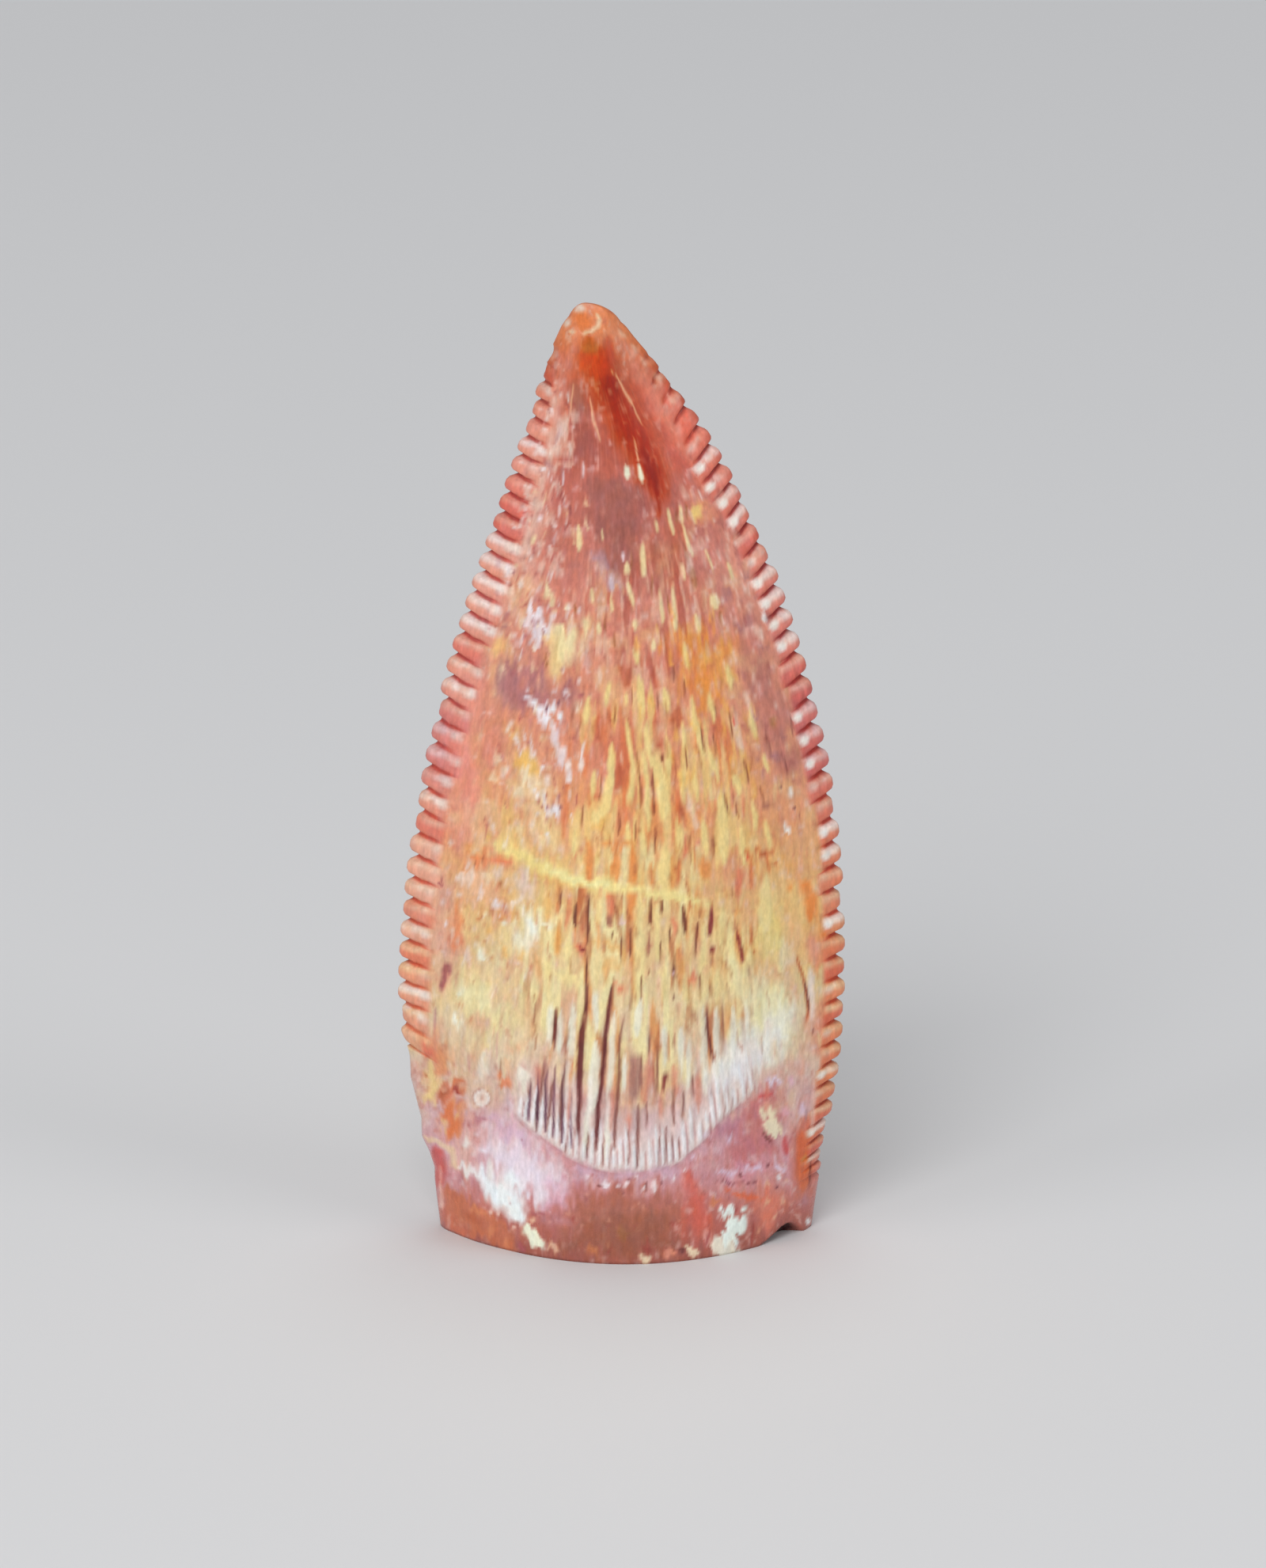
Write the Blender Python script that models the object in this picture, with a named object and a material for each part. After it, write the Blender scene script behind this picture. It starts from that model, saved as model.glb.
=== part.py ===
"""Fossil tooth of a small meat-eating dinosaur: one flat, recurved crown with two serrated edges.

The crown stands on its broken base. X runs across the blade from the straighter rear edge
(-X) to the bowed front edge (+X), Y through its thickness, and Z up to the tip. The face with
the flutes looks towards -Y. Lengths are in millimetres until the mesh is scaled to metres.
"""

import math
from collections import namedtuple

import bmesh
import bpy
from mathutils import Vector

METRES_PER_MM = 0.001

# Blade seen from its flat side: height above the base, distance of the edge from the middle
CROWN_HEIGHT = 17.75
REAR_LINE = [
    (0.0, -3.42), (0.6, -3.54), (1.8, -3.75), (3.3, -3.95), (3.9, -4.16), (4.6, -4.20),
    (6.7, -4.06), (9.2, -3.66), (11.3, -3.16), (13.4, -2.50), (15.4, -1.85), (16.6, -1.46),
    (17.1, -1.25), (17.5, -1.07),
]
FRONT_LINE = [
    (0.0, 3.48), (1.1, 3.64), (2.5, 3.90), (3.6, 4.03), (4.8, 4.09), (6.7, 4.05), (8.6, 3.86),
    (10.1, 3.55), (11.3, 3.24), (12.2, 2.97), (13.1, 2.65), (14.4, 2.05), (15.4, 1.50),
    (16.0, 1.06), (16.7, 0.53), (17.0, 0.28), (17.4, -0.03),
]

# Blade seen from its edge: height above the base, half the thickness at the middle
HALF_THICKNESS = [
    (0.0, 2.20), (3.0, 2.12), (6.0, 1.93), (9.0, 1.65), (12.0, 1.27), (14.5, 0.90),
    (16.3, 0.62), (16.9, 0.52), (17.4, 0.43),
]
TIP_LEAN = 0.35

# Exponent of the lens-shaped section: 1 is two plain bows, 0.5 an oval, more hollows the edges
BASE_FULLNESS = 0.95
BASE_SECTION_UP_TO = 3.0
CROWN_FULLNESS = 1.20
TIP_FULLNESS = 0.55
TIP_SECTION_FROM = 16.3

# Blunt tip, with the flat oval that wear ground into it
TIP_X = -0.72
TIP_ROUND_FROM = 17.30
TIP_POINTEDNESS = 1.6
TIP_ROUNDNESS = 0.50
FACET_POINT = Vector((-0.80, 0.00, 17.42))
FACET_NORMAL = Vector((0.05, -0.72, 0.69)).normalized()

# Denticles: first and last slit of each edge, and pitch by height. They wear off near the tip.
REAR_SLITS = (16.98, 3.62)
REAR_PITCH = [
    (3.7, 0.42), (6.3, 0.405), (8.2, 0.435), (10.3, 0.43), (12.4, 0.39), (14.3, 0.365), (16.2, 0.34),
]
REAR_BAR_LENGTH = 0.62
FRONT_SLITS = (17.28, 1.15)
FRONT_PITCH = [
    (1.0, 0.16), (1.7, 0.27), (2.4, 0.35), (4.6, 0.415), (6.6, 0.44), (8.6, 0.46), (10.5, 0.455),
    (12.5, 0.415), (14.0, 0.38), (16.4, 0.33), (17.2, 0.24),
]
FRONT_BAR_LENGTH = 0.45
BAR_SHARE_OF_HALF_WIDTH = 0.33
EDGE_RADIUS = 0.13
FLANGE_SLOPE = 0.12
SLIT_DEPTH = 0.17
SLIT_REACH = 0.30
SLIT_PINCH = 0.50
SLIT_HALF_SHARE = 0.20
BAR_ROUNDING = 0.14
BAR_UNEVENNESS = 0.18
UNEVENNESS_STEP = 2.4
WORN_STRENGTH = 0.35
WORN_NEAR_TIP = (1.5, 0.7)
WORN_NEAR_END = 0.8
LEAN_SPAN = 0.4
LEVEL_ROWS_UP_TO = 1.5

# Flutes of the -Y face, which end in an arc above the smooth root end
FLUTE_DEPTH = 0.06
FLUTES_PER_COLUMN = 3
FLUTED_COLUMNS_REAR = 4
FLUTED_COLUMNS_FRONT = 5
FLUTES_FADE = (3.4, 4.8)
FLUTED_ROWS_UP_TO = 5.7
ARC_LOWEST = 1.78
ARC_RISE_REAR = 0.22
ARC_RISE_FRONT = 0.27
ARC_ROW_LEVEL = 2.9
ARC_ROWS_SETTLE = (0.2, 6.5)
ROOT_STEP = 0.05

# Broken base: flat rim round the shallow pulp hollow, and the chip out of the rim
RIM_SCALE = (0.74, 0.62)
HOLLOW_SCALE = (0.80, 0.72)
HOLLOW_DEPTH = 0.7
CHIP_SPAN = (2.80, 3.40)
CHIP_HEIGHT = 0.30

# Skin layout: columns from an edge to the middle of a face, and rows outside the denticles
FLANGE_COLUMNS = 3
FLANGE_CROWDING = 1.4
FLUTED_FACE_COLUMNS = 7
PLAIN_FACE_COLUMNS = 5
ROWS_PER_DENTICLE = 4
BASE_ROWS = 3
LOWEST_ROW = 0.9
TIP_ROWS = 5

ENAMEL_COLOUR = (0.68, 0.27, 0.12, 1.0)
ENAMEL_ROUGHNESS = 0.32

Edge = namedtuple("Edge", "side line bar_length slits levels")
Place = namedtuple("Place", "face edge other inward")


def smoothstep(low, high, value):
    share = min(max((value - low) / (high - low), 0.0), 1.0)
    return share * share * (3.0 - 2.0 * share)


def along(stations, height):
    """Smooth curve through (height, value) stations, level past the first and the last."""
    if height <= stations[0][0]:
        return stations[0][1]
    if height >= stations[-1][0]:
        return stations[-1][1]
    last = len(stations) - 1
    i = max(k for k in range(last) if stations[k][0] <= height)
    (h0, v0), (h1, v1) = stations[i], stations[i + 1]
    before = stations[max(i - 1, 0)]
    after = stations[min(i + 2, last)]
    start_slope = (v1 - before[1]) / (h1 - before[0])
    end_slope = (after[1] - v0) / (after[0] - h0)
    span = h1 - h0
    t = (height - h0) / span
    return (v0 * (1 + 2 * t) * (1 - t) ** 2 + v1 * t * t * (3 - 2 * t)
            + span * (start_slope * t * (1 - t) ** 2 - end_slope * t * t * (1 - t)))


def tip_shrink(height):
    """1 up to the blunt tip, then down to 0 at the top."""
    rise = max(height - TIP_ROUND_FROM, 0.0) / (CROWN_HEIGHT - TIP_ROUND_FROM)
    return (1.0 - min(rise, 1.0) ** TIP_POINTEDNESS) ** TIP_ROUNDNESS


def edge_x(edge, height):
    return TIP_X + (along(edge.line, height) - TIP_X) * tip_shrink(height)


def slit_heights(first_and_last, pitch):
    """Heights of an edge's slits, from the tip down."""
    first, last = first_and_last
    heights = [first]
    while heights[-1] > last:
        heights.append(heights[-1] - along(pitch, heights[-1]))
    return heights


def row_levels(slits, rows_with_slits):
    """Heights of one edge at the main rows, base first.

    An edge with fewer slits than there are rows gets plain rows below its last slit.
    """
    spare = rows_with_slits - len(slits)
    plain = [slits[-1] + (LOWEST_ROW - slits[-1]) * (k + 1) / spare for k in range(spare)]
    base = [LOWEST_ROW * k / BASE_ROWS for k in range(BASE_ROWS)]
    quarter_turn = 0.5 * math.pi
    tip = [slits[0] + (CROWN_HEIGHT - slits[0]) * math.sin(quarter_turn * k / TIP_ROWS)
           for k in range(1, TIP_ROWS + 1)]
    return base + plain[::-1] + slits[::-1] + tip


def make_edges():
    rear_slits = slit_heights(REAR_SLITS, REAR_PITCH)
    front_slits = slit_heights(FRONT_SLITS, FRONT_PITCH)
    rows = max(len(rear_slits), len(front_slits))
    rear = Edge(-1, REAR_LINE, REAR_BAR_LENGTH, rear_slits, row_levels(rear_slits, rows))
    front = Edge(1, FRONT_LINE, FRONT_BAR_LENGTH, front_slits, row_levels(front_slits, rows))
    return rear, front


REAR, FRONT = make_edges()
MAIN_ROWS = len(FRONT.levels) - 1
FLUTED_QUARTER = FLANGE_COLUMNS + FLUTED_FACE_COLUMNS
PLAIN_QUARTER = FLANGE_COLUMNS + PLAIN_FACE_COLUMNS
MAIN_COLUMNS = 2 * FLUTED_QUARTER + 2 * PLAIN_QUARTER


def place_of(column):
    """Face (-1 fluted, 1 plain), nearer edge, other edge, and columns in from the nearer edge."""
    if column <= FLUTED_QUARTER:
        return Place(-1, REAR, FRONT, column)
    if column <= 2 * FLUTED_QUARTER:
        return Place(-1, FRONT, REAR, 2 * FLUTED_QUARTER - column)
    if column <= 2 * FLUTED_QUARTER + PLAIN_QUARTER:
        return Place(1, FRONT, REAR, column - 2 * FLUTED_QUARTER)
    return Place(1, REAR, FRONT, MAIN_COLUMNS - column)


def edge_height(edge, row):
    """Height of an edge at a row; the rows beside a slit are drawn close to it."""
    low = min(int(row), MAIN_ROWS - 1)
    share = row - low
    if edge.levels[low] >= edge.slits[-1] and edge.levels[low + 1] <= edge.slits[0]:
        if 0.0 < share < 0.4:
            share = SLIT_HALF_SHARE
        elif share > 0.6:
            share = 1.0 - SLIT_HALF_SHARE
    return edge.levels[low] + (edge.levels[low + 1] - edge.levels[low]) * share


def groove_at(edge, height):
    """Strength of the slits at a height: 1 in the middle of one, near 0 on the crest of a bar."""
    above = [k for k, slit in enumerate(edge.slits) if slit >= height - 1e-6]
    if not above or above[-1] == len(edge.slits) - 1:
        return 0.0
    k = above[-1]
    share = (edge.slits[k] - height) / (edge.slits[k] - edge.slits[k + 1])
    reach = min(abs(share), 1.0 - share)
    slit = max(0.0, 1.0 - reach / SLIT_HALF_SHARE)
    bar = BAR_ROUNDING * (1.0 - 2.0 * reach) ** 2 * (1.0 - slit)
    uneven = 1.0 + BAR_UNEVENNESS * math.sin(UNEVENNESS_STEP * k + edge.side)
    near_tip = smoothstep(CROWN_HEIGHT - WORN_NEAR_TIP[0], CROWN_HEIGHT - WORN_NEAR_TIP[1], height)
    near_end = 1.0 - smoothstep(edge.slits[-1], edge.slits[-1] + WORN_NEAR_END, height)
    worn = 1.0 - (1.0 - WORN_STRENGTH) * max(near_tip, near_end)
    return (slit + bar) * uneven * worn


def bar_sag(edge, height, bar):
    """How far the inner end of a bar lies below its outer end, as bars are square to the edge."""
    high = min(height + LEAN_SPAN, TIP_ROUND_FROM)
    low = high - 2.0 * LEAN_SPAN
    lean = abs(along(edge.line, high) - along(edge.line, low)) / (high - low)
    level_base = smoothstep(0.0, LEVEL_ROWS_UP_TO, height)
    level_tip = 1.0 - smoothstep(TIP_ROUND_FROM, CROWN_HEIGHT, height)
    return lean * bar * level_base * level_tip


def arc_height(x):
    rise = ARC_RISE_REAR if x < 0.0 else ARC_RISE_FRONT
    return ARC_LOWEST + rise * x * x


def arc_sag(x, height):
    """Draws the rows of the fluted face down to the arc that the flutes end in."""
    low, high = ARC_ROWS_SETTLE
    bump = smoothstep(low, ARC_ROW_LEVEL, height) * (1.0 - smoothstep(ARC_ROW_LEVEL, high, height))
    return max(ARC_ROW_LEVEL - arc_height(x), 0.0) * bump


def section_fullness(height):
    base = 1.0 - smoothstep(0.0, BASE_SECTION_UP_TO, height)
    tip = smoothstep(TIP_SECTION_FROM, TIP_ROUND_FROM, height)
    return (CROWN_FULLNESS + (BASE_FULLNESS - CROWN_FULLNESS) * base
            + (TIP_FULLNESS - CROWN_FULLNESS) * tip)


def half_section(depth, reach, bar, height):
    """Half thickness at a depth in from the edge: a rounded flange, then the lens of the crown."""
    thickness = along(HALF_THICKNESS, height) * tip_shrink(height)
    flange_share = 1.0 - smoothstep(TIP_SECTION_FROM, TIP_ROUND_FROM, height)
    outside = 1.0 - min(depth / EDGE_RADIUS, 1.0)
    flange = EDGE_RADIUS * math.sqrt(1.0 - outside ** 2) + FLANGE_SLOPE * min(depth, bar)
    whole_flange = EDGE_RADIUS + FLANGE_SLOPE * bar
    lens = (1.0 - reach ** 2) ** section_fullness(height)
    return flange_share * flange + (thickness - flange_share * whole_flange) * lens


def flute_relief(column, x, height):
    """Inward depth of the flutes, and of the step down to the smooth root end."""
    arc = arc_height(x)
    first = FLUTED_QUARTER - FLUTED_COLUMNS_REAR
    last = FLUTED_QUARTER + FLUTED_COLUMNS_FRONT
    across = smoothstep(first, first + 1.0, column) * (1.0 - smoothstep(last - 1.0, last, column))
    above_arc = smoothstep(arc - 0.1, arc + 0.15, height)
    wave = 0.5 - 0.5 * math.cos(2.0 * math.pi * FLUTES_PER_COLUMN * column)
    flutes = FLUTE_DEPTH * wave * above_arc * (1.0 - smoothstep(*FLUTES_FADE, height))
    return (flutes + ROOT_STEP * (1.0 - above_arc)) * across


def crown_point(column, row):
    """Point of the crown for a place on the flat layout."""
    place = place_of(column)
    edge, other = place.edge, place.other
    own_height = edge_height(edge, row)
    other_height = edge_height(other, row)
    middle_x = 0.5 * (edge_x(edge, own_height) + edge_x(other, other_height))
    half_width = max(abs(edge_x(edge, own_height) - middle_x), 1e-6)
    widest_bar = BAR_SHARE_OF_HALF_WIDTH * half_width
    bar = min(edge.bar_length, widest_bar)
    other_bar = min(other.bar_length, widest_bar)

    if place.inward <= FLANGE_COLUMNS:
        in_face = 0.0
        depth = bar * (place.inward / FLANGE_COLUMNS) ** FLANGE_CROWDING
    else:
        face_columns = FLUTED_FACE_COLUMNS if place.face < 0 else PLAIN_FACE_COLUMNS
        in_face = (place.inward - FLANGE_COLUMNS) / face_columns
        depth = bar + (half_width - bar) * in_face
    reach = 1.0 - depth / half_width

    sag = bar_sag(edge, own_height, bar)
    middle_sag = 0.5 * (sag + bar_sag(other, other_height, other_bar))
    middle_height = 0.5 * (own_height + other_height)
    height = middle_height + (own_height - middle_height) * reach
    height -= sag * min(depth / bar, 1.0) + (middle_sag - sag) * smoothstep(0.0, 1.0, in_face)

    groove = groove_at(edge, own_height) * (1.0 - smoothstep(0.35 * bar, bar, depth))
    slit = SLIT_DEPTH * groove * (1.0 - min(depth / SLIT_REACH, 1.0))
    x = edge_x(edge, own_height) - edge.side * (depth + slit)
    if place.face < 0 and row > 0.0:
        height -= arc_sag(x, height)
    y = place.face * half_section(depth, reach, bar, height) * (1.0 - SLIT_PINCH * groove)
    if place.face < 0:
        y += flute_relief(column, x, height)
    y += TIP_LEAN * (height / CROWN_HEIGHT) ** 2

    point = Vector((x, y, height))
    over = (point - FACET_POINT).dot(FACET_NORMAL)
    return point - max(over, 0.0) * FACET_NORMAL


def lay_out_skin():
    """Flat layout of the skin: columns along x from the rear edge round, main rows along y.

    It is cut finer along both edges, for the denticles, and where the flutes are.
    """
    bm = bmesh.new()
    bmesh.ops.create_grid(bm, x_segments=MAIN_COLUMNS, y_segments=MAIN_ROWS, size=0.5)
    for v in bm.verts:
        v.co.x = round((v.co.x + 0.5) * MAIN_COLUMNS)
        v.co.y = round((v.co.y + 0.5) * MAIN_ROWS)

    def middle(edge):
        return 0.5 * (edge.verts[0].co + edge.verts[1].co)

    upright_in_flange = [
        e for e in bm.edges
        if e.verts[0].co.x == e.verts[1].co.x and place_of(middle(e).x).inward <= FLANGE_COLUMNS
        and BASE_ROWS < middle(e).y < MAIN_ROWS - TIP_ROWS
    ]
    bmesh.ops.subdivide_edges(
        bm, edges=upright_in_flange, cuts=ROWS_PER_DENTICLE - 1, use_grid_fill=True)

    top = next(k for k, height in enumerate(REAR.levels) if height > FLUTED_ROWS_UP_TO)
    level_in_flutes = [
        e for e in bm.edges
        if e.verts[0].co.y == e.verts[1].co.y and BASE_ROWS <= middle(e).y <= top
        and -FLUTED_COLUMNS_REAR < middle(e).x - FLUTED_QUARTER < FLUTED_COLUMNS_FRONT
    ]
    bmesh.ops.subdivide_edges(
        bm, edges=level_in_flutes, cuts=2 * FLUTES_PER_COLUMN - 1, use_grid_fill=True)
    return bm


def chip_lift(point):
    """Height that the chip takes out of the rim at a point along it."""
    low, high = CHIP_SPAN
    return CHIP_HEIGHT if point.y < 0.0 and low < point.x < high else 0.0


def close_base(bm):
    """Flat rim, then the shallow hollow inside it."""
    outline = [e for e in bm.edges if e.is_boundary]
    for scale, depth in ((RIM_SCALE, 0.0), (HOLLOW_SCALE, HOLLOW_DEPTH)):
        grown = bmesh.ops.extrude_edge_only(bm, edges=outline)["geom"]
        for v in (g for g in grown if isinstance(g, bmesh.types.BMVert)):
            v.co.x *= scale[0]
            v.co.y *= scale[1]
            v.co.z = max(v.co.z, depth)
        outline = [g for g in grown if isinstance(g, bmesh.types.BMEdge) and g.is_boundary]
    ceiling = bmesh.ops.contextual_create(bm, geom=outline)["faces"]
    bmesh.ops.poke(bm, faces=ceiling)


def stand_on_origin(bm):
    """Moves the crown so that the middle of its bounding box is over the origin."""
    for axis in (0, 1):
        places = [v.co[axis] for v in bm.verts]
        middle = 0.5 * (min(places) + max(places))
        for v in bm.verts:
            v.co[axis] -= middle


def fossil_enamel():
    material = bpy.data.materials.new("fossil_enamel")
    material.use_nodes = True
    surface = material.node_tree.nodes["Principled BSDF"]
    surface.inputs["Base Color"].default_value = ENAMEL_COLOUR
    surface.inputs["Roughness"].default_value = ENAMEL_ROUGHNESS
    surface.inputs["Metallic"].default_value = 0.0
    return material


def build_tooth():
    bm = lay_out_skin()
    for v in bm.verts:
        on_base = v.co.y == 0.0
        v.co = crown_point(v.co.x, v.co.y)
        if on_base:
            v.co.z = chip_lift(v.co)
    bmesh.ops.remove_doubles(bm, verts=bm.verts, dist=1e-4)
    close_base(bm)
    stand_on_origin(bm)
    bmesh.ops.triangulate(bm, faces=bm.faces)
    bmesh.ops.recalc_face_normals(bm, faces=bm.faces)
    bmesh.ops.scale(bm, vec=Vector((METRES_PER_MM,) * 3), verts=bm.verts)
    mesh = bpy.data.meshes.new("tooth")
    bm.to_mesh(mesh)
    bm.free()
    mesh.shade_smooth()
    mesh.materials.append(fossil_enamel())
    tooth = bpy.data.objects.new("tooth", mesh)
    bpy.context.collection.objects.link(tooth)


for item in list(bpy.data.objects):
    bpy.data.objects.remove(item, do_unlink=True)
build_tooth()
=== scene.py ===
import math

import bpy
import numpy as np
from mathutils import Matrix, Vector


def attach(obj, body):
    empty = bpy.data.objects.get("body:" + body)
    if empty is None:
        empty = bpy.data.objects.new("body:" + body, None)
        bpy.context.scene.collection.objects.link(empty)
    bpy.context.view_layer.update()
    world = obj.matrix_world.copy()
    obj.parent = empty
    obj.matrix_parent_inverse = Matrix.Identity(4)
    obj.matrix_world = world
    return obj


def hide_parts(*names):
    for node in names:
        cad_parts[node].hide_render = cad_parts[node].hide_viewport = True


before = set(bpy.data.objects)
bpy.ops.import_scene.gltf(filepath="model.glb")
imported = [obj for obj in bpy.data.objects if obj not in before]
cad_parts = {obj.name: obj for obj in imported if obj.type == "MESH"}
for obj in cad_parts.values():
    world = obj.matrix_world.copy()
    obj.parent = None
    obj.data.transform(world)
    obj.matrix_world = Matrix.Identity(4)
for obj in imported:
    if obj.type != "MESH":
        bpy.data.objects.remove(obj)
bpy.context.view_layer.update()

# Crown of the tooth: one piece of fossil enamel and dentine. It grew as a flat, recurved blade
# with a row of denticles down each edge, and broke off above the root. It starts as a flat grid
# that counts columns round the crown and rows up it, which is then wrapped round.
MM = 0.001
CROWN_HEIGHT = 17.75
REAR_LINE = [
    (0.0, -3.42), (0.6, -3.54), (1.8, -3.75), (3.3, -3.95), (3.9, -4.16), (4.6, -4.20),
    (6.7, -4.06), (9.2, -3.66), (11.3, -3.16), (13.4, -2.50), (15.4, -1.85), (16.6, -1.46),
    (17.1, -1.25), (17.5, -1.07),
]
FRONT_LINE = [
    (0.0, 3.48), (1.1, 3.64), (2.5, 3.90), (3.6, 4.03), (4.8, 4.09), (6.7, 4.05), (8.6, 3.86),
    (10.1, 3.55), (11.3, 3.24), (12.2, 2.97), (13.1, 2.65), (14.4, 2.05), (15.4, 1.50),
    (16.0, 1.06), (16.7, 0.53), (17.0, 0.28), (17.4, -0.03),
]
HALF_THICKNESS = [
    (0.0, 2.20), (3.0, 2.12), (6.0, 1.93), (9.0, 1.65), (12.0, 1.27), (14.5, 0.90),
    (16.3, 0.62), (16.9, 0.52), (17.4, 0.43),
]
TIP_LEAN = 0.35
TIP_X = -0.72
TIP_ROUND_FROM = 17.30
REAR_SLITS = (16.98, 3.62)
REAR_PITCH = [
    (3.7, 0.42), (6.3, 0.405), (8.2, 0.435), (10.3, 0.43), (12.4, 0.39), (14.3, 0.365), (16.2, 0.34),
]
REAR_BAR = 0.62
FRONT_SLITS = (17.28, 1.15)
FRONT_PITCH = [
    (1.0, 0.16), (1.7, 0.27), (2.4, 0.35), (4.6, 0.415), (6.6, 0.44), (8.6, 0.46), (10.5, 0.455),
    (12.5, 0.415), (14.0, 0.38), (16.4, 0.33), (17.2, 0.24),
]
FRONT_BAR = 0.45
EDGE_RADIUS = 0.13
LOWEST_ROW = 0.9
BASE_ROWS = 3
TIP_ROWS = 5
FINE_ROWS = 5
FLUTED_FLANGE = 16
FLUTED_COLUMNS = 106
PLAIN_FLANGE = 12
PLAIN_COLUMNS = 31
FLANGE_CROWDING = 1.3
ROW_CROWDING = 0.45
LONGEST_BAR = 0.33
LEAN_SPAN = 0.4
FAN_OUT = 0.35


def smoothstep(low, high, value):
    share = np.clip((value - low) / (high - low), 0.0, 1.0)
    return share * share * (3.0 - 2.0 * share)


def fade(low, high, value):
    return 1.0 - smoothstep(low, high, value)


def between(rise, fall, value):
    """1 in a stretch that begins over the first pair of values and ends over the second."""
    return smoothstep(*rise, value) * fade(*fall, value)


def straight(stations, at):
    """Straight lines through (place, value) stations."""
    places, values = np.array(stations).T
    return np.interp(at, places, values)


def along(stations, height):
    """Smooth curve through (height, value) stations."""
    at, value = np.array(stations).T
    slope = np.empty_like(value)
    slope[1:-1] = (value[2:] - value[:-2]) / (at[2:] - at[:-2])
    slope[0] = (value[1] - value[0]) / (at[1] - at[0])
    slope[-1] = (value[-1] - value[-2]) / (at[-1] - at[-2])
    i = np.clip(np.searchsorted(at, height, "right") - 1, 0, len(at) - 2)
    span = at[i + 1] - at[i]
    t = np.clip((height - at[i]) / span, 0.0, 1.0)
    return (value[i] * (1 + 2 * t) * (1 - t) ** 2 + value[i + 1] * t * t * (3 - 2 * t)
            + span * (slope[i] * t * (1 - t) ** 2 - slope[i + 1] * t * t * (1 - t)))


def tip_shrink(height):
    rise = np.clip((height - TIP_ROUND_FROM) / (CROWN_HEIGHT - TIP_ROUND_FROM), 0.0, 1.0)
    return np.sqrt(1.0 - rise ** 1.6)


def edge_x(line, height):
    return TIP_X + (along(line, height) - TIP_X) * tip_shrink(height)


def slit_heights(first_and_last, pitch):
    heights = [first_and_last[0]]
    while heights[-1] > first_and_last[1]:
        heights.append(heights[-1] - float(along(pitch, heights[-1])))
    return heights


def row_levels(slits, rows_with_slits):
    spare = rows_with_slits - len(slits)
    plain = [slits[-1] + (LOWEST_ROW - slits[-1]) * (k + 1) / spare for k in range(spare)]
    base = [LOWEST_ROW * k / BASE_ROWS for k in range(BASE_ROWS)]
    tip = [slits[0] + (CROWN_HEIGHT - slits[0]) * math.sin(0.5 * math.pi * k / TIP_ROWS)
           for k in range(1, TIP_ROWS + 1)]
    return np.array(base + plain[::-1] + slits[::-1] + tip)


rear_slits = slit_heights(REAR_SLITS, REAR_PITCH)
front_slits = slit_heights(FRONT_SLITS, FRONT_PITCH)
slit_rows = max(len(rear_slits), len(front_slits))
rear_levels = row_levels(rear_slits, slit_rows)
front_levels = row_levels(front_slits, slit_rows)
main_rows = len(front_levels) - 1
top_slit_row = BASE_ROWS + slit_rows - 1
fluted_half = FLUTED_FLANGE + FLUTED_COLUMNS
plain_half = PLAIN_FLANGE + PLAIN_COLUMNS
columns = 2 * (fluted_half + plain_half)
rows = main_rows * FINE_ROWS

bpy.ops.object.select_all(action="DESELECT")
bpy.ops.mesh.primitive_grid_add(x_subdivisions=columns, y_subdivisions=rows, size=1.0)
crown = bpy.context.object
crown.name = "tooth_crown"
mesh = crown.data


def points_of_mesh():
    co = np.empty(len(mesh.vertices) * 3, np.float32)
    mesh.vertices.foreach_get("co", co)
    return co.reshape(-1, 3)


def layout():
    """Column and main row of every vertex of the flat grid."""
    co = points_of_mesh().astype(float)
    return (co[:, 0] + 0.5) * columns, (co[:, 1] + 0.5) * main_rows


def inward_of(column):
    """Columns in from the nearer edge, whether that is the rear edge, whether the face is fluted."""
    on_fluted = column <= 2 * fluted_half
    inward = np.where(
        on_fluted,
        np.minimum(column, 2 * fluted_half - column),
        np.minimum(column - 2 * fluted_half, columns - column),
    )
    near_rear = np.where(on_fluted, column <= fluted_half, column > columns - plain_half)
    return inward, near_rear, on_fluted


# The rows are cut once more along both edges, where the denticles are
column, row = layout()
inward, _, on_fluted = inward_of(column)
flange = np.where(on_fluted, FLUTED_FLANGE, PLAIN_FLANGE)
fine = (inward < flange + 0.5) & (row > BASE_ROWS - 0.01) & (row < main_rows - TIP_ROWS + 0.01)
ends = np.empty(len(mesh.edges) * 2, np.int32)
mesh.edges.foreach_get("vertices", ends)
ends = ends.reshape(-1, 2)
upright = np.abs(column[ends[:, 0]] - column[ends[:, 1]]) < 0.01
bpy.context.tool_settings.mesh_select_mode = (False, True, False)
mesh.vertices.foreach_set("select", np.zeros(len(mesh.vertices), bool))
mesh.polygons.foreach_set("select", np.zeros(len(mesh.polygons), bool))
mesh.edges.foreach_set("select", upright & fine[ends[:, 0]] & fine[ends[:, 1]])
bpy.ops.object.mode_set(mode="EDIT")
bpy.ops.mesh.subdivide(number_cuts=1)
bpy.ops.object.mode_set(mode="OBJECT")
column, row = layout()
inward, near_rear, on_fluted = inward_of(column)
flange = np.where(on_fluted, FLUTED_FLANGE, PLAIN_FLANGE)

# Denticles differ a little from each other: depth of each slit, length and height of each bar
chance = np.random.default_rng(11)
edges_and_rows = (2, main_rows + 2)
slit_cut = chance.uniform(0.75, 1.15, edges_and_rows)
bar_reach = chance.uniform(0.84, 1.10, edges_and_rows)
bar_worn = chance.uniform(0.0, 1.0, edges_and_rows) ** 4


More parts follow.
